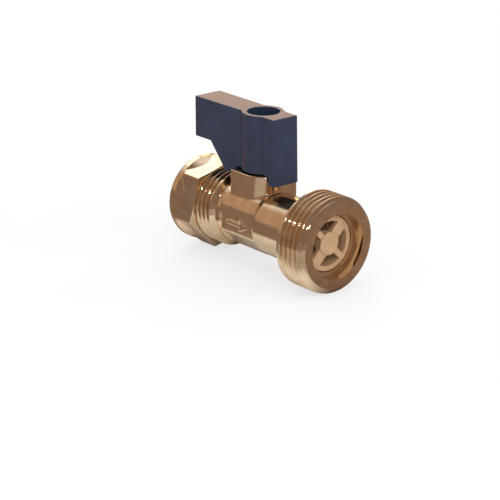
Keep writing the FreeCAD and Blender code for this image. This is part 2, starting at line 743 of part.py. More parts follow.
def make_lever():
    """The moulded lever: arm, barrel round the stem, leg and tab that straddle the boss."""
    body = new_body("lever_solid", at_stem=True)
    barrel = "dim.lever_barrel_r"
    inner = "(dim.boss_half + dim.lever_stop_play)"
    nose = f"({inner} + dim.lever_leg)"
    neck_x = f"-sqrt({barrel}^2 - dim.lever_neck_half^2)"
    flat = "dim.lever_flat_x"
    plan = outline(body, "lever_plan", "XY_Plane", [
        ("-dim.lever_arm", "-dim.lever_arm_half"),
        (neck_x, "-dim.lever_neck_half"),
        ("arc", "0", "0", 1),
        (flat, f"-sqrt({barrel}^2 - {flat}^2)"),
        (f"{flat} + dim.lever_flat_step", "-dim.lever_nose_half"),
        (nose, "-dim.lever_nose_half"),
        (nose, "dim.lever_nose_half"),
        (f"{flat} + dim.lever_flat_step", "dim.lever_nose_half"),
        (flat, "dim.lever_back_corner_y"),
        ("dim.lever_back_corner_x", f"sqrt({barrel}^2 - dim.lever_back_corner_x^2)"),
        ("arc", "0", "0", 1),
        (neck_x, "dim.lever_neck_half"),
        ("-dim.lever_arm", "dim.lever_arm_half"),
    ], offset=LEVER_BOTTOM)
    feature(body, "Pad", "lever_block", plan, Length=f"{LEVER_TOP} - {LEVER_BOTTOM}")

    below = f"{LEVER_BOTTOM} - dim.lever_skirt"
    heel = f"({inner} + dim.lever_tab)"
    under = f"{LEVER_FLOOR} + dim.lever_arm_lift"
    arm = outline(body, "under_arm_outline", "XZ_Plane", [
        ("-dim.lever_arm * 1.1", below),
        (f"-{heel}", below),
        (f"-{heel}", LEVER_BOTTOM),
        ("-dim.lever_arm + dim.lever_arm_flat", under),
        ("-dim.lever_arm * 1.1", under),
    ])
    feature(body, "Pocket", "under_arm", arm, Type="ThroughAll", Midplane=True)
    notch = outline(body, "notch_outline", "XZ_Plane",
                    rectangle(f"-{inner}", inner, below, LEVER_FLOOR))
    feature(body, "Pocket", "boss_notch", notch, Type="ThroughAll", Midplane=True)
    draft = outline(body, "leg_draft_outline", "XZ_Plane", [
        (nose, LEVER_BOTTOM),
        (f"{nose} + dim.lever_leg_draft", LEVER_BOTTOM),
        (f"{nose} + dim.lever_leg_draft", LEVER_TOP),
        (f"{nose} - dim.lever_leg_draft", LEVER_TOP),
    ])
    feature(body, "Pocket", "leg_draft", draft, Type="ThroughAll", Midplane=True)

    core_end = "-dim.lever_arm + dim.lever_wall + dim.lever_core_length"
    core_half = "dim.lever_neck_half - dim.lever_wall + dim.insert_fit"
    core = outline(body, "core_outline", "XY_Plane",
                   rectangle("-dim.lever_arm + dim.lever_wall", core_end,
                             f"-({core_half})", core_half), offset=below)
    feature(body, "Pocket", "arm_core", core, Reversed=True,
            Length=f"{LEVER_TOP} - dim.lever_roof - ({below})")
    half = "(dim.drive_square / 2 + dim.drive_fit)"
    socket = outline(body, "socket_outline", "XY_Plane",
                     rectangle(f"-{half}", half, f"-{half}", half), offset=below)
    feature(body, "Pocket", "drive_socket", socket, Reversed=True,
            Length=f"{SOCKET_ROOF} - ({below})")
    well = outline(body, "well_outline", "XZ_Plane", [
        ("0", f"{SOCKET_ROOF} - dim.lever_web"),
        ("dim.screw_r + dim.screw_fit", f"{SOCKET_ROOF} - dim.lever_web"),
        ("dim.screw_r + dim.screw_fit", WELL_FLOOR),
        ("dim.lever_well_r", WELL_FLOOR),
        ("dim.lever_well_r", LEVER_TOP),
        ("0", LEVER_TOP),
    ])
    turned(body, "Groove", "screw_well", well, axis="V_Axis")
    rounded(body, "Fillet", "arm_blend", "dim.lever_blend_r", at_arm_root)
    rounded(body, "Fillet", "arm_end_round", "dim.lever_edge_round", at_arm_end)
    return body


def at_arm_root(points):
    """Whether an edge runs up the hollow corner between the arm and the barrel."""
    neck = number("dim.lever_neck_half")
    neck_x = -math.sqrt(number("dim.lever_barrel_r") ** 2 - neck ** 2)
    return all(abs(p.x - neck_x) < 0.01 and abs(abs(p.y) - neck) < 0.01 for p in points)


def at_arm_end(points):
    """Whether an edge runs up a corner of the arm's free end."""
    end = number("dim.lever_arm")
    half = number("dim.lever_arm_half")
    return all(abs(p.x + end) < 0.01 and abs(abs(p.y) - half) < 0.01 for p in points)


def make_lever_screw():
    """The cross-head screw that holds the lever on the stem."""
    body = new_body("lever_screw_solid", at_stem=True)
    tip = f"{SCREW_SEAT} - dim.screw_length"
    head_top = f"{SCREW_SEAT} + dim.screw_head_height"
    shade = "dim.screw_head_round"
    skin = outline(body, "screw_outline", "XZ_Plane", [
        ("0", tip),
        ("dim.screw_r - dim.screw_point", tip),
        ("dim.screw_r", f"{tip} + dim.screw_point"),
        ("dim.screw_r", SCREW_SEAT),
        ("dim.screw_head_r", SCREW_SEAT),
        ("dim.screw_head_r", f"{head_top} - {shade}"),
        ("arc", f"dim.screw_head_r - {shade}", f"{head_top} - {shade}", 1),
        (f"dim.screw_head_r - {shade}", head_top),
        ("0", head_top),
    ])
    turned(body, "Revolution", "screw_turned", skin, axis="V_Axis")
    long, short = "dim.screw_cross_half", "dim.screw_cross / 2"
    for name, u, v in (("cross_along", long, short), ("cross_over", short, long)):
        arm = outline(body, name + "_outline", "XY_Plane", rectangle(f"-{u}", u, f"-{v}", v),
                      offset=head_top)
        feature(body, "Pocket", name, arm, Length="dim.screw_cross_depth")
    return body


def make_screw_washer():
    """The flat washer under the lever screw's head."""
    disc = post("washer_disc", WELL_FLOOR, "dim.screw_washer_height", "dim.screw_washer_r")
    hole = post("washer_hole", WELL_FLOOR, "dim.screw_washer_height",
                "dim.screw_r + dim.screw_fit")
    return minus("washer_cut", disc, hole)


# Check valve cartridge in the outlet

def make_cage():
    """The white cage seen in the outlet: flanged barrel, two spokes across it and a hub."""
    body = new_body("check_valve_cage_solid")
    ring = outline(body, "cage_ring_outline", "XZ_Plane", [
        (BARREL_END, CAGE_RING_R),
        (BARREL_END, CARTRIDGE_R),
        (CAGE_SHOULDER, CARTRIDGE_R),
        (CAGE_SHOULDER, "dim.cage_r"),
        (f"{CAGE_FRONT} - dim.cage_edge", "dim.cage_r"),
        (CAGE_FRONT, "dim.cage_r - dim.cage_edge"),
        (CAGE_FRONT, CAGE_RING_R),
    ])
    turned(body, "Revolution", "cage_ring", ring)
    reach = f"({CAGE_RING_R} + dim.cage_edge)"
    for name, half, turn in (("wide_spokes", "dim.spoke_wide_half", 45.0),
                             ("narrow_spokes", "dim.spoke_narrow_half", 135.0)):
        bar = outline(body, name + "_outline", "YZ_Plane",
                      rectangle(f"-{reach}", reach, f"-{half}", half),
                      offset=f"{CAGE_FRONT} - dim.spoke_depth", turn=turn)
        feature(body, "Pad", name, bar, Length="dim.spoke_depth")
    guide_end = f"({HUB_BACK} - dim.guide_length + dim.hub_depth)"
    hub = outline(body, "hub_outline", "XZ_Plane", [
        (guide_end, "0"),
        (guide_end, "dim.guide_r"),
        (HUB_BACK, "dim.guide_r"),
        (HUB_BACK, "dim.hub_r"),
        (CAGE_FRONT, "dim.hub_r"),
        (CAGE_FRONT, "0"),
    ])
    turned(body, "Revolution", "hub", hub)
    guide = outline(body, "guide_bore_outline", "XZ_Plane", rectangle(
        guide_end, f"{guide_end} + dim.guide_bore_depth", "0", "dim.guide_bore_r"))
    turned(body, "Groove", "guide_bore", guide)
    return body


def make_housing():
    """The rear half of the cartridge, with the valve seat and a spigot into the cage."""
    body = new_body("check_valve_housing_solid")
    joint = f"({BARREL_END} - dim.housing_joint)"
    section = outline(body, "housing_outline", "XZ_Plane", [
        (HOUSING_START, THROAT_R),
        (HOUSING_START, CARTRIDGE_R),
        (joint, CARTRIDGE_R),
        (joint, SPIGOT_R),
        (f"{BARREL_END} + dim.spigot_length", SPIGOT_R),
        (f"{BARREL_END} + dim.spigot_length", CAVITY_R),
        (VALVE_SEAT_X, CAVITY_R),
        (VALVE_SEAT_X, THROAT_R),
    ])
    turned(body, "Revolution", "housing_turned", section)
    half = "dim.o_ring_groove / 2"
    groove = outline(body, "housing_groove_outline", "XZ_Plane", rectangle(
        f"{HOUSING_RING_X} - {half}", f"{HOUSING_RING_X} + {half}", HOUSING_RING_FLOOR,
        "dim.chamber_r"))
    turned(body, "Groove", "housing_groove", groove)
    return body


def make_cartridge_o_ring():
    """The rubber ring that seals the cartridge in the body's bore."""
    return solid("Torus", "cartridge_ring", HOUSING_RING_X, axis=Y_AXIS, angle=90.0,
                 Radius1=HOUSING_RING_R, Radius2="dim.o_ring_section_r")


def make_poppet():
    """The poppet: a nose through the seal, a disc and a stem that slides in the hub."""
    body = new_body("check_valve_poppet_solid")
    section = outline(body, "poppet_outline", "XZ_Plane", [
        (f"{POPPET_BACK} - dim.poppet_nose_length", "0"),
        (f"{POPPET_BACK} - dim.poppet_nose_length", f"{POPPET_NOSE_R} / 2"),
        (f"{POPPET_BACK} - dim.seal_height", POPPET_NOSE_R),
        (POPPET_BACK, POPPET_NOSE_R),
        (POPPET_BACK, POPPET_R),
        (POPPET_FRONT, POPPET_R),
        (POPPET_FRONT, "dim.poppet_stem_r"),
        (f"{POPPET_FRONT} + dim.poppet_stem_length", "dim.poppet_stem_r"),
        (f"{POPPET_FRONT} + dim.poppet_stem_length", "0"),
    ])
    turned(body, "Revolution", "poppet_turned", section)
    return body


def make_poppet_seal():
    """The rubber washer on the back of the poppet, which closes on the housing's seat."""
    start = f"{POPPET_BACK} - dim.seal_height"
    disc = rod("seal_disc", start, "dim.seal_height", f"{POPPET_R} - dim.seal_inset")
    hole = rod("seal_hole", start, "dim.seal_height", f"{POPPET_NOSE_R} + dim.insert_fit")
    return minus("seal_cut", disc, hole)


def make_spring():
    """The stainless coil that pushes the poppet shut, from its disc to the hub."""
    helix = doc.addObject("Part::Helix", "spring_line")
    height = f"({HUB_BACK} - {POPPET_FRONT} - 3 * dim.spring_wire_r)"
    bind(helix, Radius="dim.spring_r", Height=height, Pitch=f"{height} / dim.spring_turns")
    wire = doc.addObject("Part::Circle", "spring_section")
    bind(wire, Radius="dim.spring_wire_r")
    place(wire, x="dim.spring_r", axis=FreeCAD.Vector(1, 0, 0), angle=90.0)
    spring = doc.addObject("Part::Sweep", "spring_sweep")
    spring.Sections = [wire]
    spring.Spine = (helix, [])
    spring.Solid = True
    spring.Frenet = True
    place(spring, x=f"{POPPET_FRONT} + 1.5 * dim.spring_wire_r", axis=Y_AXIS, angle=90.0)
    return spring


finished(make_valve_body(), "valve_body")
finished(make_compression_nut(), "compression_nut")
finished(make_compression_ring(), "compression_ring")
finished(make_ball(), "ball")
finished(make_soft_seat("inlet", f"{BALL_X} - {SEAT_REACH}"), "inlet_seat")
finished(make_soft_seat("outlet", f"{BALL_X} + {SEAT_REACH} - dim.soft_seat_length"),
         "outlet_seat")
finished(make_seat_retainer(), "seat_retainer")
finished(make_stem(), "stem")
finished(make_thrust_washer(), "stem_thrust_washer")
finished(make_stem_o_ring("lower_torus", "dim.lower_o_ring_drop"), "stem_o_ring_lower")
finished(make_stem_o_ring("upper_torus", "dim.upper_o_ring_drop"), "stem_o_ring_upper")
finished(make_lever(), "lever")
finished(make_lever_screw(), "lever_screw")
finished(make_screw_washer(), "screw_washer")
finished(make_cage(), "check_valve_cage")
finished(make_housing(), "check_valve_housing")
finished(make_cartridge_o_ring(), "cartridge_o_ring")
finished(make_poppet(), "check_valve_poppet")
finished(make_poppet_seal(), "poppet_seal")
finished(make_spring(), "check_valve_spring")

# Checks and files

doc.recompute()
for item in doc.Objects:
    if "Invalid" in item.State or "Error" in item.State:
        raise RuntimeError(f"{item.Label} failed: {item.State}")
for piece in pieces:
    shape = piece.Shape
    if shape.isNull() or not shape.isValid() or len(shape.Solids) != 1:
        raise RuntimeError(f"{piece.Label} isn't one valid solid")
    shape.exportStep(f"parts/{piece.Label}.step")
    print(f"{piece.Label}: {shape.Volume:.2f} mm3")
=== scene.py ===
# Washing machine valve: the surfaces, finishes and stage, laid over the solid model's frame.
import json
import math

import bmesh
import bpy
import numpy as np
from bpy.props import FloatProperty, FloatVectorProperty, PointerProperty
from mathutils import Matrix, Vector


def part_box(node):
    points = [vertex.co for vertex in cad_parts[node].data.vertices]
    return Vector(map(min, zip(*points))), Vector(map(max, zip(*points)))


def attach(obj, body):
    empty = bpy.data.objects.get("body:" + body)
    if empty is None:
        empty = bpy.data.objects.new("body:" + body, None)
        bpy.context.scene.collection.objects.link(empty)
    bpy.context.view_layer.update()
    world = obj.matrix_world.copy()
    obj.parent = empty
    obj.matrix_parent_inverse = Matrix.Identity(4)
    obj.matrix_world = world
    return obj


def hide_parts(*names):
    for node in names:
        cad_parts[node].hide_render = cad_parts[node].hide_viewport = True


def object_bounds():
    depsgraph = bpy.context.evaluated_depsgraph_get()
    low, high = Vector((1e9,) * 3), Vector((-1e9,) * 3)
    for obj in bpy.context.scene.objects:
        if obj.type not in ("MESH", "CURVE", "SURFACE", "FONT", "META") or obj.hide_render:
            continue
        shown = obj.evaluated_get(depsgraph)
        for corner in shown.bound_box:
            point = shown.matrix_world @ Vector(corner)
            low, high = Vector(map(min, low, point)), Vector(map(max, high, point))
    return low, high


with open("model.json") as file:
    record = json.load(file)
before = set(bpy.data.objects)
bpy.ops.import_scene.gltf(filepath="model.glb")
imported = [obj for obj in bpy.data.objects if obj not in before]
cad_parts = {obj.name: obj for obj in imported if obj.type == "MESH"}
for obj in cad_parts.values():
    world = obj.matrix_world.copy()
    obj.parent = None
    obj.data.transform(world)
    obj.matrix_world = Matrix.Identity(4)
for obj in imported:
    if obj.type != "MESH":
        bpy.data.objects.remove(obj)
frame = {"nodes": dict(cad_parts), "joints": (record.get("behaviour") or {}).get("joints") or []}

bl_info = {
    "name": "Washing machine valve",
    "version": (1, 0, 0),
    "blender": (4, 5, 0),
    "location": "3D View > Sidebar > Valve",
    "description": "Makes the threads, block, nut, lever and check valve of a brass ball valve",
    "category": "Object",
}

MM = 0.001
TAU = 2 * math.pi
CAD_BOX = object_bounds()
BODY_LOW, BODY_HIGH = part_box("valve_body")
NUT_LOW, NUT_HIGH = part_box("compression_nut")
STEM_X = next(j for j in frame["joints"] if j["name"] == "lever_turn")["pos_m"][0]
BALL = Vector((STEM_X, 0.0, 0.0))

# Threads: runs and fades are counted in turns of the groove
THREAD_ANGLE = math.radians(200)   # where a groove passes the place that it is measured from
THREAD_FLANK = math.radians(27.5)
INLET_RUN = (-6.0, 0.6)
HOSE_RUN = (-0.6, 5.0)
FADE_IN, FADE_OUT = 0.25, 0.35

# Proportions of the body and the nut
SWELL_EDGE = math.radians(67.5)    # from straight up to the edge where the swell begins
SWELL_WHOLE = math.radians(43)     # from straight up to where it reaches its full height
INLET_SLOPE = 1.0                  # fall of the cone from the inlet's neck into the block
OUTLET_SLOPE = 0.5                 # fall of the cone from the outlet's neck into the block
BULGE_PLACE = 0.45                 # share of the outlet's chamfer, from its face, that bulges
FORGED_MARGIN = 0.3 * MM           # how far the forged skin reaches past the block
ARROW_SINK = 0.04 * MM             # how far the arrow's line is rooted below the flat
NUT_TURN = math.radians(45)        # angle of a flat of the hexagon
ROUND_MIDDLE = 0.3                 # share of a rounding at which its middle lies

# Fineness of the meshes
COLUMNS = 192                      # vertices round the flow axis
HUB_COLUMNS = 48
BLOCK_STEP = 0.12 * MM             # between the rings along the block
QUARTER_TILTS = np.linspace(0, math.pi / 2, 4)         # rows over a rounded edge
ROOT_SHARES = (0.0, 0.05, 0.15, 0.3, 0.5, 0.75, 1.0)   # rows over the boss's hollow root
SIDE_POINTS, CORNER_POINTS, ROUND_POINTS = 16, 6, 28   # along the boss's outline
ARROW_ROWS = 7                     # across the arrow's raised line
HALVINGS = 24                      # in the search for the height of the body's skin
CREASE_ANGLE = math.radians(38)    # an edge that turns by more isn't shaded smooth
MERGE_DISTANCE = 0.001 * MM        # vertices of a solid that lie closer become one
FLAT_ANGLE = math.radians(0.5)     # faces of a solid that turn by less become one
BEVEL_ANGLE = math.radians(30)     # an edge of a solid that turns by more is rounded

# The camera that was fitted to the photo, in pixels
HALF_PICTURE, FOCAL_LENGTH = 250, 1791.2


# Settings

def length(name, default, description):
    """A size that the panel shows; the default is given in millimetres."""
    return FloatProperty(name=name, description=description, default=default * MM,
                         unit="LENGTH", precision=5)


def colour(name, default, description):
    """A colour that the panel shows; the default is an sRGB hex value."""
    return FloatVectorProperty(name=name, description=description, subtype="COLOR", size=3,
                               min=0.0, max=1.0, default=linear(default)[:3])


def bearing(name, default, description):
    """An angle that the panel shows; the default is given in radians."""
    return FloatProperty(name=name, description=description, default=default,
                         subtype="ANGLE", unit="ROTATION")


def linear(code):
    """An sRGB hex colour as linear red, green, blue and alpha."""
    parts = [int(code[i:i + 2], 16) / 255 for i in (1, 3, 5)]
    return tuple(c / 12.92 if c < 0.04045 else ((c + 0.055) / 1.055) ** 2.4 for c in parts) + (1.0,)


class VALVE_PG_threads(bpy.types.PropertyGroup):
    """Sizes of the two pipe threads."""
    pitch: length("Pitch", 1.814, "Distance from one groove to the next")
    depth: length("Depth", 0.996, "Depth of a groove below the crests")
    round: length("Round", 0.32, "Radius of the crests and of the grooves' floors")
    inlet_first: length("Inlet groove", 3.257, "From the pipe stop to the inlet's first groove")
    hose_first: length("Hose groove", 2.085, "From the collar's rear to its first groove")
    step: length("Station step", 0.075, "Distance between the mesh's rings along a thread")


class VALVE_PG_body(bpy.types.PropertyGroup):
    """Sizes of the brass body."""
    inlet_crest: length("Inlet crest", 10.48, "Radius over the inlet thread")
    inlet_chamfer: length("Inlet chamfer", 0.8, "Chamfer at the inlet's mouth")
    inlet_land_end: length("Inlet land", 2.2, "From the pipe stop back to the thread's end")
    inlet_neck: length("Inlet neck", 8.85, "Radius of the neck between thread and block")
    neck_flank: length("Neck flank", 0.85, "Length of the slope from the thread to the neck")
    block_start: length("Block start", 0.3, "Where the block begins after the pipe stop")
    block_end: length("Block end", 14.34, "Where the block's corners end")
    block_half: length("Block half", 8.24, "From the flow axis to a flat of the block")
    block_corner: length("Block corner", 0.5, "Radius of the block's long edges")
    swell: length("Swell", 0.4, "How far the block's upper sides swell towards the boss")
    block_fade: length("Block fade", 0.18, "Length of the rounding at the swell's ends")
    outlet_neck: length("Outlet neck", 8.7, "Radius of the neck between block and collar")
    collar: length("Collar", 9.9, "Length of the threaded collar")
    collar_chamfer: length("Collar chamfer", 0.4, "Chamfer at the collar's rear")
    face: length("Face", 11.4, "Outer radius of the ring that the hose washer meets")
    face_chamfer: length("Face chamfer", 1.6, "Length of the chamfer at the outlet")
    mouth: length("Mouth", 8.91, "Radius of the outlet's mouth")
    mouth_depth: length("Mouth depth", 3.0, "Depth of the outlet's mouth")
    cage_bore: length("Cage bore", 7.8, "Radius of the bore round the cage's flange")
    cage_depth: length("Cage depth", 3.6, "Depth of the bore round the cage's flange")
    chamber: length("Chamber", 7.1, "Radius of the bore that holds the ball and cartridge")
    web: length("Web", 1.5, "Thickness of the wall between socket and chamber")
    web_hole: length("Web hole", 4.4, "Radius of the hole in that wall")
    socket: length("Socket", 7.55, "Radius of the pipe socket")
    socket_cone: length("Socket cone", 2.0, "Length of the cone at the socket's mouth")
    socket_mouth: length("Socket mouth", 8.705, "Radius of the cone at the socket's mouth")
    ease: length("Eased edge", 0.14, "How far a turned edge is rounded")


class VALVE_PG_boss(bpy.types.PropertyGroup):
    """Sizes of the boss round the stem, and of the arrow."""
    half: length("Half width", 6.42, "From the stem's axis to a side of the boss")
    top: length("Top", 13.75, "Height of the boss above the flow axis")
    corner: length("Corner", 0.45, "Radius of the boss's two sharp corners")
    edge: length("Edge", 0.3, "Rounding of the boss's upper edge")
    root: length("Root", 0.35, "Hollow rounding where the boss meets the block")
    hole: length("Hole", 3.4, "Radius of the stem's hole")
    arrow_tail: length("Arrow tail", 5.9, "From the stem's axis back to the arrow's tail")
    arrow_neck: length("Arrow neck", 0.5, "From the stem's axis back to the arrow's neck")
    arrow_tip: length("Arrow tip", 4.0, "From the stem's axis on to the arrow's tip")
    arrow_drop: length("Arrow drop", 0.35, "How far the arrow lies below the flow axis")
    arrow_shaft: length("Arrow shaft", 0.78, "Half width of the arrow's shaft")
    arrow_head: length("Arrow head", 2.0, "Half width of the arrow's head")
    arrow_line: length("Arrow line", 0.56, "Width of the raised line")
    arrow_height: length("Arrow height", 0.26, "Height of the raised line")


class VALVE_PG_nut(bpy.types.PropertyGroup):
    """Sizes of the compression nut."""
    half: length("Half width", 11.0, "From the flow axis to a flat of the hexagon")
    corner: length("Corner", 0.3, "Radius of the hexagon's long edges")
    collar: length("Collar", 12.1, "Radius of the round collar")
    collar_length: length("Collar length", 2.5, "Length of the round collar")
    collar_round: length("Collar round", 0.8, "Rounding of the collar's rear edge")
    slope: length("Slope", 1.1, "Length of the slope from the collar to the corners")
    shoulder: length("Shoulder", 2.7, "Length of the cone from the collar down to the flats")
    front: length("Front", 10.75, "Outer radius of the nut's front face")
    chamfer: length("Chamfer", 0.5, "Length of the chamfer at the nut's front")
    bore: length("Bore", 9.42, "Radius over the crests of the inside thread")
    mouth: length("Mouth", 10.45, "Radius of the mouth of the inside thread")
    mouth_depth: length("Mouth depth", 0.75, "Depth of the chamfer at that mouth")
    cone: length("Cone", 4.15, "From the rear face to the cone that presses the ring")
    pipe: length("Pipe hole", 7.7, "Radius of the hole for the pipe")
    ease: length("Eased edge", 0.15, "How far a turned edge is rounded")


class VALVE_PG_mouldings(bpy.types.PropertyGroup):
    """Edge rounding of the moulded and turned small parts."""
    lever_edge: length("Lever edge", 0.22, "Rounding of the lever's edges")
    cage_edge: length("Cage edge", 0.26, "Rounding of the check valve cage's edges")
    hub_radius: length("Hub radius", 3.24, "Radius of the raised disc on the cage's hub")
    hub_rise: length("Hub rise", 0.25, "How far that disc stands above the spokes")


class VALVE_PG_finishes(bpy.types.PropertyGroup):
    """Colours of the materials."""
    brass: colour("Brass", "#EAD4B4", "Bright brass")
    brass_dull: colour("Dull brass", "#DFC6A3", "Brass where it has tarnished a little")
    lever: colour("Lever", "#2C3850", "Blue nylon of the lever")
    cage: colour("Cage", "#C2A07C", "Acetal of the check valve")
    ptfe: colour("PTFE", "#EDEBE6", "Soft seats and thrust washer")
    rubber: colour("Rubber", "#17171A", "Sealing rings")
    nickel: colour("Nickel", "#C9C5BC", "Plating of the ball")
    zinc: colour("Zinc", "#B9BBB8", "Plating of the screw and its washer")
    wire: colour("Wire", "#A9A9A6", "Stainless spring wire")


class VALVE_PG_stage(bpy.types.PropertyGroup):
    """Camera, light and floor."""
    azimuth: bearing("Azimuth", math.radians(50.15), "Direction from the valve to the camera")
    elevation: bearing("Elevation", math.radians(20.11), "Height of the camera as an angle")
    distance: length("Distance", 488.5, "From the point aimed at to the camera")
    aim_side: length("Aim side", -3.65, "How far right of the ball the camera aims")
    aim_up: length("Aim height", -8.71, "How far above the ball the camera aims")
    view_angle: bearing("View angle", 2 * math.atan(HALF_PICTURE / FOCAL_LENGTH),
                        "Angle that the picture spans")
    floor_half: length("Floor half", 3000.0, "Half the width of the floor")
    fill: FloatProperty(name="Fill", description="Strength of the light from all around",
                        default=0.9, min=0.0)
    # paper_inner and paper_outer keep the paper that metal sees small, so metal sees the dark
    # tabletop colour round and under the valve: painted shade in the reflections
    paper_inner: length("Paper inner", 10.5, "Where the paper begins to darken in a reflection")
    paper_outer: length("Paper outer", 17.0, "Where metal sees the table instead of the paper")
    paper: colour("Paper", "#FAFAFA", "White paper under the valve")
    paper_shade: colour("Paper shade", "#F6F6F6", "Slightly darker patches of that paper")
    room: colour("Room", "#8B7871", "The dim room that metal reflects on the camera's side")
    wall: colour("Wall", "#BFA28A", "The wall round the window, as metal reflects it")
    # this colour is a tabletop and also the painted shade under the valve that metal mirrors
    table_and_shade: colour("Table", "#8A756A", "The table that metal reflects beyond the paper")


# Mesh making

def object_from(bm, name, *materials):
    """Turn a bmesh into a smooth-shaded object with its materials."""
    mesh = bpy.data.meshes.new(name)
    bm.to_mesh(mesh)
    bm.free()
    mesh.shade_smooth()
    mesh.set_sharp_from_angle(angle=CREASE_ANGLE)
    for material in materials:
        mesh.materials.append(material)
    obj = bpy.data.objects.new(name, mesh)
    bpy.context.scene.collection.objects.link(obj)
    weighted = obj.modifiers.new("flat faces", "WEIGHTED_NORMAL")
    weighted.keep_sharp = True
    return obj


def eased(points, reach, steps=3):
    """An open outline whose corners are rounded, over less than half of each side."""
    most = 0.4
    result = [points[0]]
    for before, corner, after in zip(points, points[1:], points[2:]):
        before, corner, after = (np.array(p, float) for p in (before, corner, after))
        back, ahead = before - corner, after - corner
        near = min(reach, most * np.linalg.norm(back), most * np.linalg.norm(ahead))
        start = corner + back / np.linalg.norm(back) * near
        end = corner + ahead / np.linalg.norm(ahead) * near
        for share in np.linspace(0, 1, steps):
            low = start + (corner - start) * share
            high = corner + (end - corner) * share
            result.append(tuple(low + (high - low) * share))
    return result + [points[-1]]


def divided(points, low, high, step):
    """An outline with more points where it runs between two places along the flow axis."""
    result = [points[0]]
    for (x0, r0), (x1, r1) in zip(points, points[1:]):
        inside = low <= min(x0, x1) and max(x0, x1) <= high
        count = max(1, math.ceil(abs(x1 - x0) / step)) if inside else 1
        for share in np.linspace(0, 1, count + 1)[1:]:
            result.append((x0 + (x1 - x0) * share, r0 + (r1 - r0) * share))
    return result


def outline_radius(angles, sides, half, corner, first):
    """Distance from the axis to a regular outline with rounded corners, at each angle."""
    turn = TAU / sides
    off = np.abs((angles - first + turn / 2) % turn - turn / 2)
    centre = (half - corner) / math.cos(turn / 2)
    side = centre * np.sin(turn / 2 - off)
    arc = centre * np.cos(turn / 2 - off) + np.sqrt(np.maximum(corner ** 2 - side ** 2, 0.0))
    on_flat = half * np.tan(off) <= (half - corner) * math.tan(turn / 2)
    return np.where(on_flat, half / np.cos(off), arc)


def ring_angles(count):
    """Angles of the vertices of one ring, spaced evenly."""
    return np.arange(count) * TAU / count


def join_rows(bm, rows, slots):
    """Join closed rows of vertices, each to the next one, with a material for each row."""
    for low, high, slot in zip(rows, rows[1:], slots):
        for index in range(len(low)):
            beside = (index + 1) % len(low)
            face = bm.faces.new((low[index], low[beside], high[beside], high[index]))
            face.material_index = slot


def add_rings(bm, rings, angles, slots):
    """Join rings round the flow axis into a closed skin; a ring is a place and its radii."""
    rows = []
    for x, radii in rings:
        ys, zs = radii * np.cos(angles), radii * np.sin(angles)
        rows.append([bm.verts.new((x, y, z)) for y, z in zip(ys, zs)])
    join_rows(bm, rows + [rows[0]], slots)


def thread_cut(x, angles, threads, first, run):
    """Depth of a right-hand groove at one place along the axis, for each angle.

    The groove passes the place `first` at THREAD_ANGLE. A run is its first and last turn, and
    it fades over a part of a turn at both ends. Its crests and floor are rounded.
    """
    turn = ((angles - THREAD_ANGLE) / TAU) % 1.0
    travel = np.round((x - first) / threads.pitch - turn) + turn
    away = np.abs(x - first - threads.pitch * travel)
    half, radius = threads.pitch / 2, threads.round
    arc = radius * math.cos(THREAD_FLANK)
    floor = threads.depth - radius + np.sqrt(np.maximum(radius ** 2 - away ** 2, 0))
    crest = radius - np.sqrt(np.maximum(radius ** 2 - np.maximum(half - away, 0) ** 2, 0))
    flank = threads.depth / 2 + (half / 2 - away) / math.tan(THREAD_FLANK)
    depth = np.where(away < arc, floor, np.where(away > half - arc, crest, flank))
    fade = (np.clip((travel - run[0]) / FADE_IN, 0, 1)
            * np.clip((run[1] - travel) / FADE_OUT, 0, 1))
    return depth * fade


def softened(node, width):
    """A copy of a node's solid with its sharp edges rounded."""
    bm = bmesh.new()
    bm.from_mesh(frame["nodes"][node].data)
    bmesh.ops.remove_doubles(bm, verts=bm.verts, dist=MERGE_DISTANCE)
    bmesh.ops.dissolve_limit(bm, angle_limit=FLAT_ANGLE, verts=bm.verts, edges=bm.edges)
    sharp = [edge for edge in bm.edges
             if edge.is_manifold and edge.calc_face_angle() > BEVEL_ANGLE]
    bmesh.ops.bevel(bm, geom=sharp, offset=width, offset_type="OFFSET", segments=2,
                    profile=0.5, affect="EDGES", clamp_overlap=True)
    for face in bm.faces:
        face.material_index = 0
    return bm


def add_hub_disc(bm, front, radius, rise):
    """A low disc with a rounded edge, standing on the cage's hub."""
    angles = ring_angles(HUB_COLUMNS)
    edge = [(-rise, radius)] + [(rise * math.sin(tilt), radius - rise * (1 - math.cos(tilt)))
                                for tilt in QUARTER_TILTS]
    rows = [[bm.verts.new((front + lift, r * math.cos(a), r * math.sin(a))) for a in angles]
            for lift, r in edge]
    join_rows(bm, rows, [0] * len(rows))
    bm.faces.new(rows[-1])
    bm.faces.new(rows[0][::-1])


# Materials

def add_node(tree, kind, inputs=None, **settings):
    """Add a shader node; an input is a value or the output that feeds it."""
    node = tree.nodes.new("ShaderNode" + kind)
    for key, value in settings.items():
        setattr(node, key, value)
    for socket, value in (inputs or {}).items():
        if isinstance(value, bpy.types.NodeSocket):
            tree.links.new(value, node.inputs[socket])
        else:
            node.inputs[socket].default_value = value
    return node


def new_material(name, **constants):
    """A material with one Principled shader, given with its node tree and that shader."""
    material = bpy.data.materials.new(name)
    material.use_nodes = True
    shader = material.node_tree.nodes["Principled BSDF"]
    for socket, value in constants.items():
        shader.inputs[socket.replace("_", " ")].default_value = value
    return material, material.node_tree, shader


def rgba(value):
    """A panel colour with full alpha."""
    return tuple(value) + (1.0,)


def darker(value, red, green, blue):
    """A panel colour with full alpha, and with each part multiplied by a share."""
    return (value[0] * red, value[1] * green, value[2] * blue, 1.0)


def calculated(tree, operation, first, second):
    """What a Math node makes of two values."""
    return add_node(tree, "Math", {0: first, 1: second}, operation=operation).outputs["Value"]


def mixed(tree, share, first, second):
    """A colour that goes from the first to the second as the share rises from 0 to 1."""
    return add_node(tree, "Mix", {"Factor": share, "A": first, "B": second},
                    data_type="RGBA").outputs["Result"]


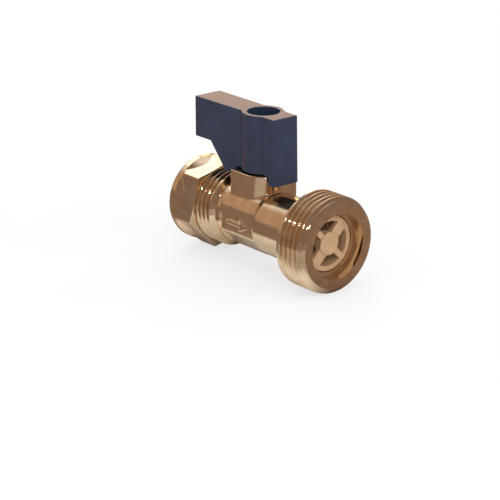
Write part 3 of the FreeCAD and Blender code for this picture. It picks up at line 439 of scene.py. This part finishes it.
def mottled(tree, vector, size, dark, light):
    """A colour that drifts between two tones over patches of a given size."""
    noise = add_node(tree, "TexNoise", {"Vector": vector, "Scale": 1 / size, "Detail": 3.0})
    # the noise keeps near 0.5, so its middle fifth is stretched over both tones
    share = add_node(tree, "MapRange", {"Value": noise.outputs["Fac"], "From Min": 0.4,
                                        "From Max": 0.6})
    return mixed(tree, share.outputs["Result"], dark, light)


def grained(tree, vector, size, height):
    """A bump of fine grain of a given size."""
    noise = add_node(tree, "TexNoise", {"Vector": vector, "Scale": 1 / size, "Detail": 2.0})
    return add_node(tree, "Bump", {"Height": noise.outputs["Fac"], "Distance": height,
                                   "Strength": 1.0}).outputs["Normal"]


def coat(tree, shader, tint, bump):
    """Give a shader its colour and its bump."""
    tree.links.new(tint, shader.inputs["Base Color"])
    tree.links.new(bump, shader.inputs["Normal"])


def turned_brass(finishes):
    """Brass cut on a lathe: bright, with rings left by the tool and a trace of tarnish."""
    material, tree, shader = new_material("turned_brass", Metallic=1.0, Roughness=0.09)
    place = add_node(tree, "TexCoord").outputs["Object"]
    axes = add_node(tree, "SeparateXYZ", {"Vector": place})
    across = add_node(tree, "CombineXYZ", {"X": axes.outputs["Y"], "Y": axes.outputs["Z"]})
    radius = add_node(tree, "VectorMath", {0: across.outputs["Vector"]}, operation="LENGTH")
    section = add_node(tree, "CombineXYZ", {"X": axes.outputs["X"], "Y": radius.outputs["Value"]})
    tint = mottled(tree, place, 3 * MM, rgba(finishes.brass_dull), rgba(finishes.brass))
    # the tool's feed of about 0.1 mm is drawn at 0.3 mm, so that it shows
    rings = grained(tree, section.outputs["Vector"], 0.3 * MM, 0.0015 * MM)
    coat(tree, shader, tint, rings)
    return material


def forged_brass(finishes):
    """Hot-forged brass, tumbled bright: satin skin with a soft grain."""
    material, tree, shader = new_material("forged_brass", Metallic=1.0, Roughness=0.15)
    place = add_node(tree, "TexCoord").outputs["Object"]
    tint = mottled(tree, place, 4 * MM, rgba(finishes.brass_dull), rgba(finishes.brass))
    coat(tree, shader, tint, grained(tree, place, 0.5 * MM, 0.003 * MM))
    return material


def moulded_nylon(finishes):
    """Injection-moulded nylon: deep even colour, satin sheen, very fine texture."""
    material, tree, shader = new_material("moulded_nylon", Roughness=0.34, IOR=1.53)
    place = add_node(tree, "TexCoord").outputs["Object"]
    deep = darker(finishes.lever, 0.85, 0.85, 0.85)
    tint = mottled(tree, place, 6 * MM, deep, rgba(finishes.lever))
    # the mould's spark texture of 0.05 mm is drawn at 0.25 mm, so that it shows
    coat(tree, shader, tint, grained(tree, place, 0.25 * MM, 0.003 * MM))
    return material


def moulded_acetal(finishes):
    """Injection-moulded acetal: waxy and matt, a little uneven in tone."""
    material, tree, shader = new_material("moulded_acetal", Roughness=0.42, IOR=1.48,
                                          Subsurface_Weight=0.4, Subsurface_Scale=1.2 * MM,
                                          Subsurface_Radius=(1.0, 0.9, 0.75))
    place = add_node(tree, "TexCoord").outputs["Object"]
    warm = darker(finishes.cage, 0.92, 0.89, 0.84)
    tint = mottled(tree, place, 2.5 * MM, warm, rgba(finishes.cage))
    coat(tree, shader, tint, grained(tree, place, 0.3 * MM, 0.004 * MM))
    return material


def plain_finish(name, base, metallic, roughness, grain_size, grain_height):
    """The finish of a hidden part: one colour with slight patches, and a fine grain."""
    material, tree, shader = new_material(name, Metallic=metallic, Roughness=roughness)
    place = add_node(tree, "TexCoord").outputs["Object"]
    tint = mottled(tree, place, 2 * MM, darker(base, 0.9, 0.9, 0.9), rgba(base))
    coat(tree, shader, tint, grained(tree, place, grain_size, grain_height))
    return material


def finish(name):
    """A material by name, made the first time that it is asked for."""
    if name in bpy.data.materials:
        return bpy.data.materials[name]
    colours = bpy.context.scene.valve_finishes
    # colour, metallic, roughness, and the size and height of the grain
    hidden = {
        "nickel_plate": (colours.nickel, 1.0, 0.12, 0.8 * MM, 0.001 * MM),
        "ptfe": (colours.ptfe, 0.0, 0.55, 0.3 * MM, 0.004 * MM),
        "nitrile_rubber": (colours.rubber, 0.0, 0.6, 0.2 * MM, 0.004 * MM),
        "zinc_plate": (colours.zinc, 1.0, 0.32, 0.3 * MM, 0.003 * MM),
        "stainless_wire": (colours.wire, 1.0, 0.28, 0.2 * MM, 0.001 * MM),
    }
    if name in hidden:
        return plain_finish(name, *hidden[name])
    makers = {"turned_brass": turned_brass, "forged_brass": forged_brass,
              "moulded_nylon": moulded_nylon, "moulded_acetal": moulded_acetal}
    return makers[name](colours)


# Body

def body_radii(x, radius, angles, body, threads):
    """The radius of the body's outside at one place along the axis, for each angle."""
    radii = np.full_like(angles, radius)
    collar_start = BODY_HIGH.x - body.collar
    if x < -body.inlet_land_end:
        cut = thread_cut(x, angles, threads, -threads.inlet_first, INLET_RUN)
        return np.minimum(radii, body.inlet_crest - cut)
    if x > collar_start:
        first = collar_start + threads.hose_first
        cut = thread_cut(x, angles, threads, first, HOSE_RUN)
        return np.minimum(radii, BODY_HIGH.y - cut)
    if body.block_start < x < body.block_end:
        flats = outline_radius(angles, 8, body.block_half, body.block_corner, math.pi / 2)
        inlet = body.inlet_neck - (x - body.block_start) * INLET_SLOPE
        outlet = body.outlet_neck - (body.block_end - x) * OUTLET_SLOPE
        ends = min(x - body.block_start, body.block_end - x) / body.block_fade
        flats = flats + (shoulders(angles, body) - flats).clip(0) * min(ends, 1.0)
        return np.maximum(flats, max(inlet, outlet))
    return radii


def shoulders(angles, body):
    """The block's rounded upper sides, which swell from its edges towards the boss."""
    aside = np.abs(angles - math.pi / 2)
    rise = body.swell * (SWELL_EDGE - aside) / (SWELL_EDGE - SWELL_WHOLE)
    edge_radius = body.block_half / math.cos(math.pi / 8)
    return (edge_radius + np.minimum(rise, body.swell)) * (aside < SWELL_EDGE)


def surface_height(x, y, body, threads):
    """Height of the body's outside, straight above a point of the plan."""
    low, high = 0.0, body.inlet_crest
    for _ in range(HALVINGS):
        z = (low + high) / 2
        angle = np.array([math.atan2(z, y)])
        radius = body.inlet_neck if x <= body.block_start else body.outlet_neck
        inside = math.hypot(y, z) < body_radii(x, radius, angle, body, threads)[0]
        low, high = (z, high) if inside else (low, z)
    return low


def add_turned_skin(bm, body, threads):
    """The outside of the body with both threads, and the bores through it."""
    mouth_x, face_x = BODY_LOW.x, BODY_HIGH.x
    collar_x = face_x - body.collar
    crest = BODY_HIGH.y
    bulge_x = face_x - body.face_chamfer * BULGE_PLACE
    bulge = crest * BULGE_PLACE + body.face * (1 - BULGE_PLACE) + body.ease
    outside = eased([
        (mouth_x, body.socket_mouth),
        (mouth_x, body.inlet_crest - body.inlet_chamfer),
        (mouth_x + body.inlet_chamfer, body.inlet_crest),
        (-body.inlet_land_end, body.inlet_crest),
        (-body.inlet_land_end + body.neck_flank, body.inlet_neck),
        (body.block_start, body.inlet_neck),
        (body.block_end, body.outlet_neck),
        (collar_x, body.outlet_neck),
        (collar_x, crest - body.collar_chamfer),
        (collar_x + body.collar_chamfer, crest),
        (face_x - body.face_chamfer, crest),
        (bulge_x, bulge),
        (face_x, body.face),
        (face_x, body.mouth),
    ], body.ease)
    outside = divided(outside, mouth_x, -body.inlet_land_end, threads.step)
    outside = divided(outside, body.block_start, body.block_end, BLOCK_STEP)
    outside = divided(outside, collar_x, face_x, threads.step)
    shelf_x = face_x - body.mouth_depth
    step_x = shelf_x - body.cage_depth
    inside = eased([
        (face_x, body.face),
        (face_x, body.mouth),
        (shelf_x, body.mouth),
        (shelf_x, body.cage_bore),
        (step_x, body.cage_bore),
        (step_x, body.chamber),
        (body.web, body.chamber),
        (body.web, body.web_hole),
        (0.0, body.web_hole),
        (0.0, body.socket),
        (mouth_x + body.socket_cone, body.socket),
        (mouth_x, body.socket_mouth),
        (mouth_x, body.inlet_crest - body.inlet_chamfer),
    ], body.ease)
    angles = ring_angles(COLUMNS)
    rings = [(x, body_radii(x, r, angles, body, threads)) for x, r in outside[1:-1]]
    forged_end = body.block_end + FORGED_MARGIN
    slots = [int(body.block_start < x < forged_end) for x, _ in rings]
    rings += [(x, np.full_like(angles, r)) for x, r in inside[1:-1]]
    slots += [0] * (len(rings) - len(slots))
    add_rings(bm, rings, angles, slots)


def boss_plan(boss):
    """The boss's outline from above as (x, y, outward x, outward y), all round the stem."""
    half, corner = boss.half, boss.corner
    spots = []

    def arc(x, y, radius, start, count):
        for angle in np.linspace(start, start + math.pi / 2, count):
            across, along = math.cos(angle), math.sin(angle)
            spots.append((x + radius * across, y + radius * along, across, along))

    def side(x0, y0, x1, y1, across, along):
        for share in np.linspace(0, 1, SIDE_POINTS)[1:-1]:
            spots.append((x0 + (x1 - x0) * share, y0 + (y1 - y0) * share, across, along))

    near = half - corner
    for sign, start in ((1, 0.0), (-1, math.pi)):
        side(sign * half, 0.0, sign * half, sign * near, sign, 0.0)
        arc(sign * near, sign * near, corner, start, CORNER_POINTS)
        side(sign * near, sign * half, 0.0, sign * half, 0.0, sign)
        arc(0.0, 0.0, half, start + math.pi / 2, ROUND_POINTS)
    return spots


def add_boss(bm, boss, body, threads):
    """The boss, with a rounded upper edge and a hollow rounding down onto the block."""
    plan = boss_plan(boss)
    directions = [math.atan2(y, x) for x, y, _, _ in plan]
    rows = [[(STEM_X + boss.hole * math.cos(angle), boss.hole * math.sin(angle), boss.top)
             for angle in directions]]
    for tilt in QUARTER_TILTS:
        inset = boss.edge * (1 - math.sin(tilt))
        z = boss.top - boss.edge * (1 - math.cos(tilt))
        rows.append([(STEM_X + x - inset * a, y - inset * b, z) for x, y, a, b in plan])
    for share in ROOT_SHARES:
        reach = boss.root * share
        lift = boss.root * (1 - math.sqrt(1 - (1 - share) ** 2))
        row = []
        for x, y, a, b in plan:
            px, py = STEM_X + x + reach * a, y + reach * b
            row.append((px, py, surface_height(px, py, body, threads) + lift))
        rows.append(row)
    made = [[bm.verts.new(point) for point in row] for row in rows]
    for upper, lower in zip(made, made[1:]):
        for index in range(len(plan)):
            beside = (index + 1) % len(plan)
            face = bm.faces.new((upper[index], lower[index], lower[beside], upper[beside]))
            face.material_index = 1


def inset_outline(points, distance):
    """A closed anticlockwise outline moved inwards, with its corners kept sharp."""
    result = []
    for index, corner in enumerate(points):
        before, after = points[index - 1], points[(index + 1) % len(points)]
        first = np.subtract(corner, before) / np.linalg.norm(np.subtract(corner, before))
        second = np.subtract(after, corner) / np.linalg.norm(np.subtract(after, corner))
        inward = np.array([-first[1] - second[1], first[0] + second[0]])
        inward /= 1 + first @ second
        result.append(tuple(np.array(corner) + inward * distance))
    return result


def add_arrow(bm, boss, body):
    """The flow arrow on the front flat, as one raised line."""
    tail, neck = STEM_X - boss.arrow_tail, STEM_X - boss.arrow_neck
    tip, mid = STEM_X + boss.arrow_tip, -boss.arrow_drop
    outer = [
        (tail, mid - boss.arrow_shaft), (neck, mid - boss.arrow_shaft),
        (neck, mid - boss.arrow_head), (tip, mid), (neck, mid + boss.arrow_head),
        (neck, mid + boss.arrow_shaft), (tail, mid + boss.arrow_shaft),
    ]
    sunk = -body.block_half + ARROW_SINK
    rise = boss.arrow_height + ARROW_SINK
    rows = []
    for angle in np.linspace(0, math.pi, ARROW_ROWS):
        distance = boss.arrow_line * (1 - math.cos(angle)) / 2
        y = sunk - rise * math.sin(angle)
        rows.append([bm.verts.new((x, y, z)) for x, z in inset_outline(outer, distance)])
    join_rows(bm, rows, [1] * len(rows))


class VALVE_OT_body(bpy.types.Operator):
    """Make the brass body with its threads, block, boss and arrow"""
    bl_idname = "valve.body"
    bl_label = "Body"

    def execute(self, context):
        scene = context.scene
        bm = bmesh.new()
        add_turned_skin(bm, scene.valve_body, scene.valve_threads)
        add_boss(bm, scene.valve_boss, scene.valve_body, scene.valve_threads)
        add_arrow(bm, scene.valve_boss, scene.valve_body)
        obj = object_from(bm, "brass_body", finish("turned_brass"), finish("forged_brass"))
        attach(obj, "valve")
        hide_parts("valve_body")
        return {"FINISHED"}


# Nut

def nut_radii(x, radius, angles, nut):
    """The radius of the nut's outside at one place along the axis, for each angle."""
    flats = outline_radius(angles, 6, nut.half, nut.corner, NUT_TURN)
    shoulder = NUT_LOW.x + nut.collar_length
    if x < shoulder:
        return np.full_like(angles, radius)
    cone = nut.collar - (x - shoulder) * (nut.collar - nut.half) / nut.shoulder
    return np.maximum(np.minimum(flats, radius), min(cone, radius))


class VALVE_OT_nut(bpy.types.Operator):
    """Make the compression nut with its round collar and hexagon"""
    bl_idname = "valve.nut"
    bl_label = "Nut"

    def execute(self, context):
        nut = context.scene.valve_nut
        rear, front = NUT_LOW.x, NUT_HIGH.x
        corner = nut.half / math.cos(math.pi / 6)
        shoulder = rear + nut.collar_length
        middle = nut.collar_round * ROUND_MIDDLE
        outside = eased([
            (rear, nut.pipe),
            (rear, nut.collar - nut.collar_round),
            (rear + middle, nut.collar - middle),
            (rear + nut.collar_round, nut.collar),
            (shoulder, nut.collar),
            (shoulder + nut.slope, corner),
            (front - nut.chamfer, corner),
            (front, nut.front),
            (front, nut.mouth),
        ], nut.ease, steps=4)
        fine, coarse, lead = 0.06 * MM, 0.25 * MM, 0.1 * MM
        outside = divided(outside, shoulder - lead, shoulder + nut.slope, fine)
        outside = divided(outside, shoulder + nut.slope, front - nut.chamfer, coarse)
        outside = divided(outside, front - nut.chamfer, front, fine)
        inside = eased([
            (front, nut.front),
            (front, nut.mouth),
            (front - nut.mouth_depth, nut.bore),
            (rear + nut.cone, nut.bore),
            (rear + nut.cone - (nut.bore - nut.pipe), nut.pipe),
            (rear, nut.pipe),
            (rear, nut.collar - nut.collar_round),
        ], nut.ease)
        angles = ring_angles(COLUMNS)
        rings = [(x, nut_radii(x, r, angles, nut)) for x, r in outside[1:-1]]
        rings += [(x, np.full_like(angles, r)) for x, r in inside[1:-1]]
        bm = bmesh.new()
        add_rings(bm, rings, angles, [0] * len(rings))
        obj = object_from(bm, "brass_nut", finish("turned_brass"))
        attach(obj, "nut")
        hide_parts("compression_nut")
        return {"FINISHED"}


# Lever, check valve and hidden parts

class VALVE_OT_lever(bpy.types.Operator):
    """Make the moulded lever with rounded edges"""
    bl_idname = "valve.lever"
    bl_label = "Lever"

    def execute(self, context):
        edge = context.scene.valve_mouldings.lever_edge
        obj = object_from(softened("lever", edge), "blue_lever", finish("moulded_nylon"))
        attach(obj, "lever_and_ball")
        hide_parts("lever")
        return {"FINISHED"}


class VALVE_OT_cage(bpy.types.Operator):
    """Make the check valve's cage with rounded edges"""
    bl_idname = "valve.cage"
    bl_label = "Check valve cage"

    def execute(self, context):
        moulded = context.scene.valve_mouldings
        bm = softened("check_valve_cage", moulded.cage_edge)
        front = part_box("check_valve_cage")[1].x
        add_hub_disc(bm, front, moulded.hub_radius, moulded.hub_rise)
        obj = object_from(bm, "moulded_cage", finish("moulded_acetal"))
        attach(obj, "valve")
        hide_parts("check_valve_cage")
        return {"FINISHED"}


NODE_FINISHES = {
    "compression_ring": "turned_brass",
    "ball": "nickel_plate",
    "inlet_seat": "ptfe",
    "outlet_seat": "ptfe",
    "seat_retainer": "turned_brass",
    "stem": "turned_brass",
    "stem_thrust_washer": "ptfe",
    "stem_o_ring_lower": "nitrile_rubber",
    "stem_o_ring_upper": "nitrile_rubber",
    "lever_screw": "zinc_plate",
    "screw_washer": "zinc_plate",
    "check_valve_housing": "moulded_acetal",
    "cartridge_o_ring": "nitrile_rubber",
    "check_valve_poppet": "moulded_acetal",
    "poppet_seal": "nitrile_rubber",
    "check_valve_spring": "stainless_wire",
}


class VALVE_OT_inner_parts(bpy.types.Operator):
    """Give the parts that stay as they are in the frame their finishes"""
    bl_idname = "valve.inner_parts"
    bl_label = "Inner parts"

    def execute(self, context):
        for node, name in NODE_FINISHES.items():
            for slot in frame["nodes"][node].material_slots:
                slot.material = finish(name)
        return {"FINISHED"}


# Stage

# Each lamp's azimuth and elevation in degrees, its distance, width and height in metres, how
# bright its face looks, its colour, and whether metal mirrors it
LAMPS = {
    "window": (246, 42, 0.6, 0.42, 0.26, 1.04, "#FFF8EC", True),
    "low_lamp": (230, 15, 0.6, 0.38, 0.18, 2.2, "#FFC892", True),
    "small_lamp": (60, 28, 0.5, 0.036, 0.036, 70.0, "#FFFAF2", True),
    "side_lamp": (105, 25, 0.6, 0.4, 0.3, 2.2, "#FFFFFF", False),
}

# The window, wall and paper that metal mirrors. A fade is where each begins and where it is
# whole; a sheet is the place of its middle and its spread along x and y.
WINDOW_DIRECTION = (-0.6, 0.28, 0.75)
WINDOW_FADE = (0.78, 0.95)         # cosine of the angle from that direction
WALL_FADE_UP = (0.06, 0.2)         # part of the direction that points up
WALL_FADE_BACK = (-0.2, -0.5)      # part of the direction that points along the flow
# the near sheet lies in front of the valve and ends under it, so that metal mirrors painted shade
# beneath the valve
NEAR_SHEET = ((12 * MM, -14 * MM), (2.6, 1.0))
# the far sheet is a dim pale patch that only metal sees, placed chiefly for the boss's right side
# to mirror: a painted reflection
FAR_SHEET = ((60 * MM, -60 * MM), (3.0, 3.0))
FAR_SHEET_SHADE = 14.7 * MM        # least distance that counts there, so that it stays dim

FLOOR_GLOW = 0.68                  # share of plain white in the floor that the camera sees
CLIP_START, CLIP_END = 10 * MM, 50.0


def toward(azimuth, elevation):
    """The direction that lies at an azimuth and an elevation, seen from the valve."""
    return Vector((math.sin(azimuth) * math.cos(elevation),
                   -math.cos(azimuth) * math.cos(elevation), math.sin(elevation)))


def soft_light(name, azimuth, elevation, distance, width, height, strength, tint, in_metal):
    """A soft box aimed at the valve; strength is how bright its face looks."""
    light = bpy.data.lights.new(name, "AREA")
    light.shape = "RECTANGLE"
    light.size, light.size_y = width, height
    light.energy = strength * math.pi * width * height
    light.color = linear(tint)[:3]
    obj = bpy.data.objects.new(name, light)
    away = toward(math.radians(azimuth), math.radians(elevation))
    obj.location = BALL + away * distance
    obj.rotation_euler = (-away).to_track_quat("-Z", "Y").to_euler()
    obj.visible_camera = False
    obj.visible_glossy = in_metal
    bpy.context.scene.collection.objects.link(obj)


def smooth_step(tree, value, begin, whole):
    """A share that rises smoothly from 0 to 1 between two values."""
    return add_node(tree, "MapRange", {"Value": value, "From Min": begin, "From Max": whole},
                    interpolation_type="SMOOTHSTEP").outputs["Result"]


def mirrored(tree):
    """Light Path's answer to whether a ray comes from a mirror or glass."""
    rays = add_node(tree, "LightPath")
    return calculated(tree, "MAXIMUM", rays.outputs["Is Glossy Ray"],
                      rays.outputs["Is Transmission Ray"])


def seen_directly(tree):
    """Light Path's answer to whether a ray comes from the camera, a mirror or glass."""
    rays = add_node(tree, "LightPath")
    return calculated(tree, "MAXIMUM", rays.outputs["Is Camera Ray"], mirrored(tree))


def away_from_sheet(tree, place, middle, spread):
    """Distance on the floor from the middle of a sheet of paper, shrunk along each axis."""
    shrink = (1 / spread[0], 1 / spread[1], 0.0)
    centre = (middle[0] / spread[0], middle[1] / spread[1], 0.0)
    shrunk = add_node(tree, "VectorMath", {0: place, 1: shrink}, operation="MULTIPLY")
    return add_node(tree, "VectorMath", {0: shrunk.outputs["Vector"], 1: centre},
                    operation="DISTANCE").outputs["Value"]


class VALVE_OT_stage(bpy.types.Operator):
    """Make the camera, the soft lights, the white surroundings and the pale floor"""
    bl_idname = "valve.stage"
    bl_label = "Stage"

    def execute(self, context):
        scene = context.scene
        stage = scene.valve_stage
        scene.view_settings.view_transform = "Standard"
        self.add_camera(scene, stage)
        for name, lamp in LAMPS.items():
            soft_light(name, *lamp)
        scene.world = self.surroundings(stage)
        half = stage.floor_half
        bm = bmesh.new()
        corners = [(-half, -half), (half, -half), (half, half), (-half, half)]
        bm.faces.new([bm.verts.new((x, y, CAD_BOX[0].z)) for x, y in corners])
        floor = object_from(bm, "floor", self.floor_material(stage))
        return {"FINISHED"}

    def add_camera(self, scene, stage):
        """Make the camera and aim it at the valve."""
        back = toward(stage.azimuth, stage.elevation)
        right = Vector((math.cos(stage.azimuth), math.sin(stage.azimuth), 0.0))
        aim = BALL + right * stage.aim_side
        aim += back.cross(right) * stage.aim_up
        lens = bpy.data.cameras.new("camera")
        lens.angle = stage.view_angle
        lens.clip_start, lens.clip_end = CLIP_START, CLIP_END
        camera = bpy.data.objects.new("camera", lens)
        camera.location = aim + back * stage.distance
        camera.rotation_mode = "QUATERNION"
        camera.rotation_quaternion = (-back).to_track_quat("-Z", "Y")
        scene.collection.objects.link(camera)
        scene.camera = camera

    def surroundings(self, stage):
        """A white world, where metal sees a dim room, a pale wall and a bright window."""
        world = bpy.data.worlds.new("studio")
        world.use_nodes = True
        tree = world.node_tree
        white = linear("#FFFFFF")
        direction = add_node(tree, "TexCoord").outputs["Generated"]
        axes = add_node(tree, "SeparateXYZ", {"Vector": direction})
        wall = calculated(tree, "MULTIPLY",
                          smooth_step(tree, axes.outputs["Z"], *WALL_FADE_UP),
                          smooth_step(tree, axes.outputs["X"], *WALL_FADE_BACK))
        facing = add_node(tree, "VectorMath", {0: direction, 1: WINDOW_DIRECTION},
                          operation="DOT_PRODUCT").outputs["Value"]
        window = smooth_step(tree, facing, *WINDOW_FADE)
        around = mixed(tree, wall, rgba(stage.room), rgba(stage.wall))
        around = mixed(tree, window, around, white)
        tint = mixed(tree, mirrored(tree), white, around)
        strength = add_node(tree, "Mix", {"Factor": seen_directly(tree), "A": stage.fill,
                                          "B": 1.0})
        background = tree.nodes["Background"]
        tree.links.new(tint, background.inputs["Color"])
        tree.links.new(strength.outputs["Result"], background.inputs["Strength"])
        return world

    def floor_material(self, stage):
        """Matt white paper that keeps the valve's shadow; metal alone sees a dark tabletop round
        it, which is also painted shade under the valve.
        """
        material, tree, shader = new_material("white_paper", Roughness=0.9,
                                              Specular_IOR_Level=0.0)
        place = add_node(tree, "TexCoord").outputs["Object"]
        tint = mottled(tree, place, 30 * MM, rgba(stage.paper_shade), rgba(stage.paper))
        near = away_from_sheet(tree, place, *NEAR_SHEET)
        far = away_from_sheet(tree, place, *FAR_SHEET)
        far = calculated(tree, "MAXIMUM", far, FAR_SHEET_SHADE)
        away = calculated(tree, "MINIMUM", near, far)
        beyond = smooth_step(tree, away, stage.paper_inner, stage.paper_outer)
        # beyond the sheets metal sees the tabletop colour, which also stands in for the shade under
        # the valve
        table_and_shade = calculated(tree, "MULTIPLY", beyond, mirrored(tree))
        laid = mixed(tree, table_and_shade, tint, rgba(stage.table_and_shade))
        tree.links.new(laid, shader.inputs["Base Color"])
        # the glow keeps the paper white in the picture, and metal doesn't see it
        glow = add_node(tree, "Emission", {"Color": linear("#FFFFFF"), "Strength": 1.0})
        share = add_node(tree, "Mix", {"Factor": mirrored(tree), "A": FLOOR_GLOW, "B": 0.0})
        share = calculated(tree, "MULTIPLY", share.outputs["Result"], seen_directly(tree))
        both = add_node(tree, "MixShader", {"Fac": share, 1: shader.outputs["BSDF"],
                                            2: glow.outputs["Emission"]})
        tree.links.new(both.outputs["Shader"],
                       tree.nodes["Material Output"].inputs["Surface"])
        return material


# Panel and registration

SETTINGS = (
    ("valve_threads", VALVE_PG_threads),
    ("valve_body", VALVE_PG_body),
    ("valve_boss", VALVE_PG_boss),
    ("valve_nut", VALVE_PG_nut),
    ("valve_mouldings", VALVE_PG_mouldings),
    ("valve_finishes", VALVE_PG_finishes),
    ("valve_stage", VALVE_PG_stage),
)
OPERATORS = (VALVE_OT_stage, VALVE_OT_body, VALVE_OT_nut, VALVE_OT_lever, VALVE_OT_cage,
             VALVE_OT_inner_parts)


class VALVE_PT_panel(bpy.types.Panel):
    """Lists the valve's sizes, colours and makers."""
    bl_idname = "VALVE_PT_panel"
    bl_label = "Washing machine valve"
    bl_space_type = "VIEW_3D"
    bl_region_type = "UI"
    bl_category = "Valve"

    def draw(self, context):
        for operator in OPERATORS:
            self.layout.operator(operator.bl_idname)
        for attribute, group in SETTINGS:
            box = self.layout.box()
            box.label(text=group.__doc__)
            for name in group.__annotations__:
                box.prop(getattr(context.scene, attribute), name)


def register():
    for attribute, group in SETTINGS:
        bpy.utils.register_class(group)
        setattr(bpy.types.Scene, attribute, PointerProperty(type=group))
    for item in (*OPERATORS, VALVE_PT_panel):
        bpy.utils.register_class(item)


def unregister():
    for item in (VALVE_PT_panel, *OPERATORS):
        bpy.utils.unregister_class(item)
    for attribute, group in SETTINGS:
        delattr(bpy.types.Scene, attribute)
        bpy.utils.unregister_class(group)


def main():
    register()
    bpy.ops.valve.stage()
    bpy.ops.valve.body()
    bpy.ops.valve.nut()
    bpy.ops.valve.lever()
    bpy.ops.valve.cage()
    bpy.ops.valve.inner_parts()


if __name__ == "__main__":
    main()
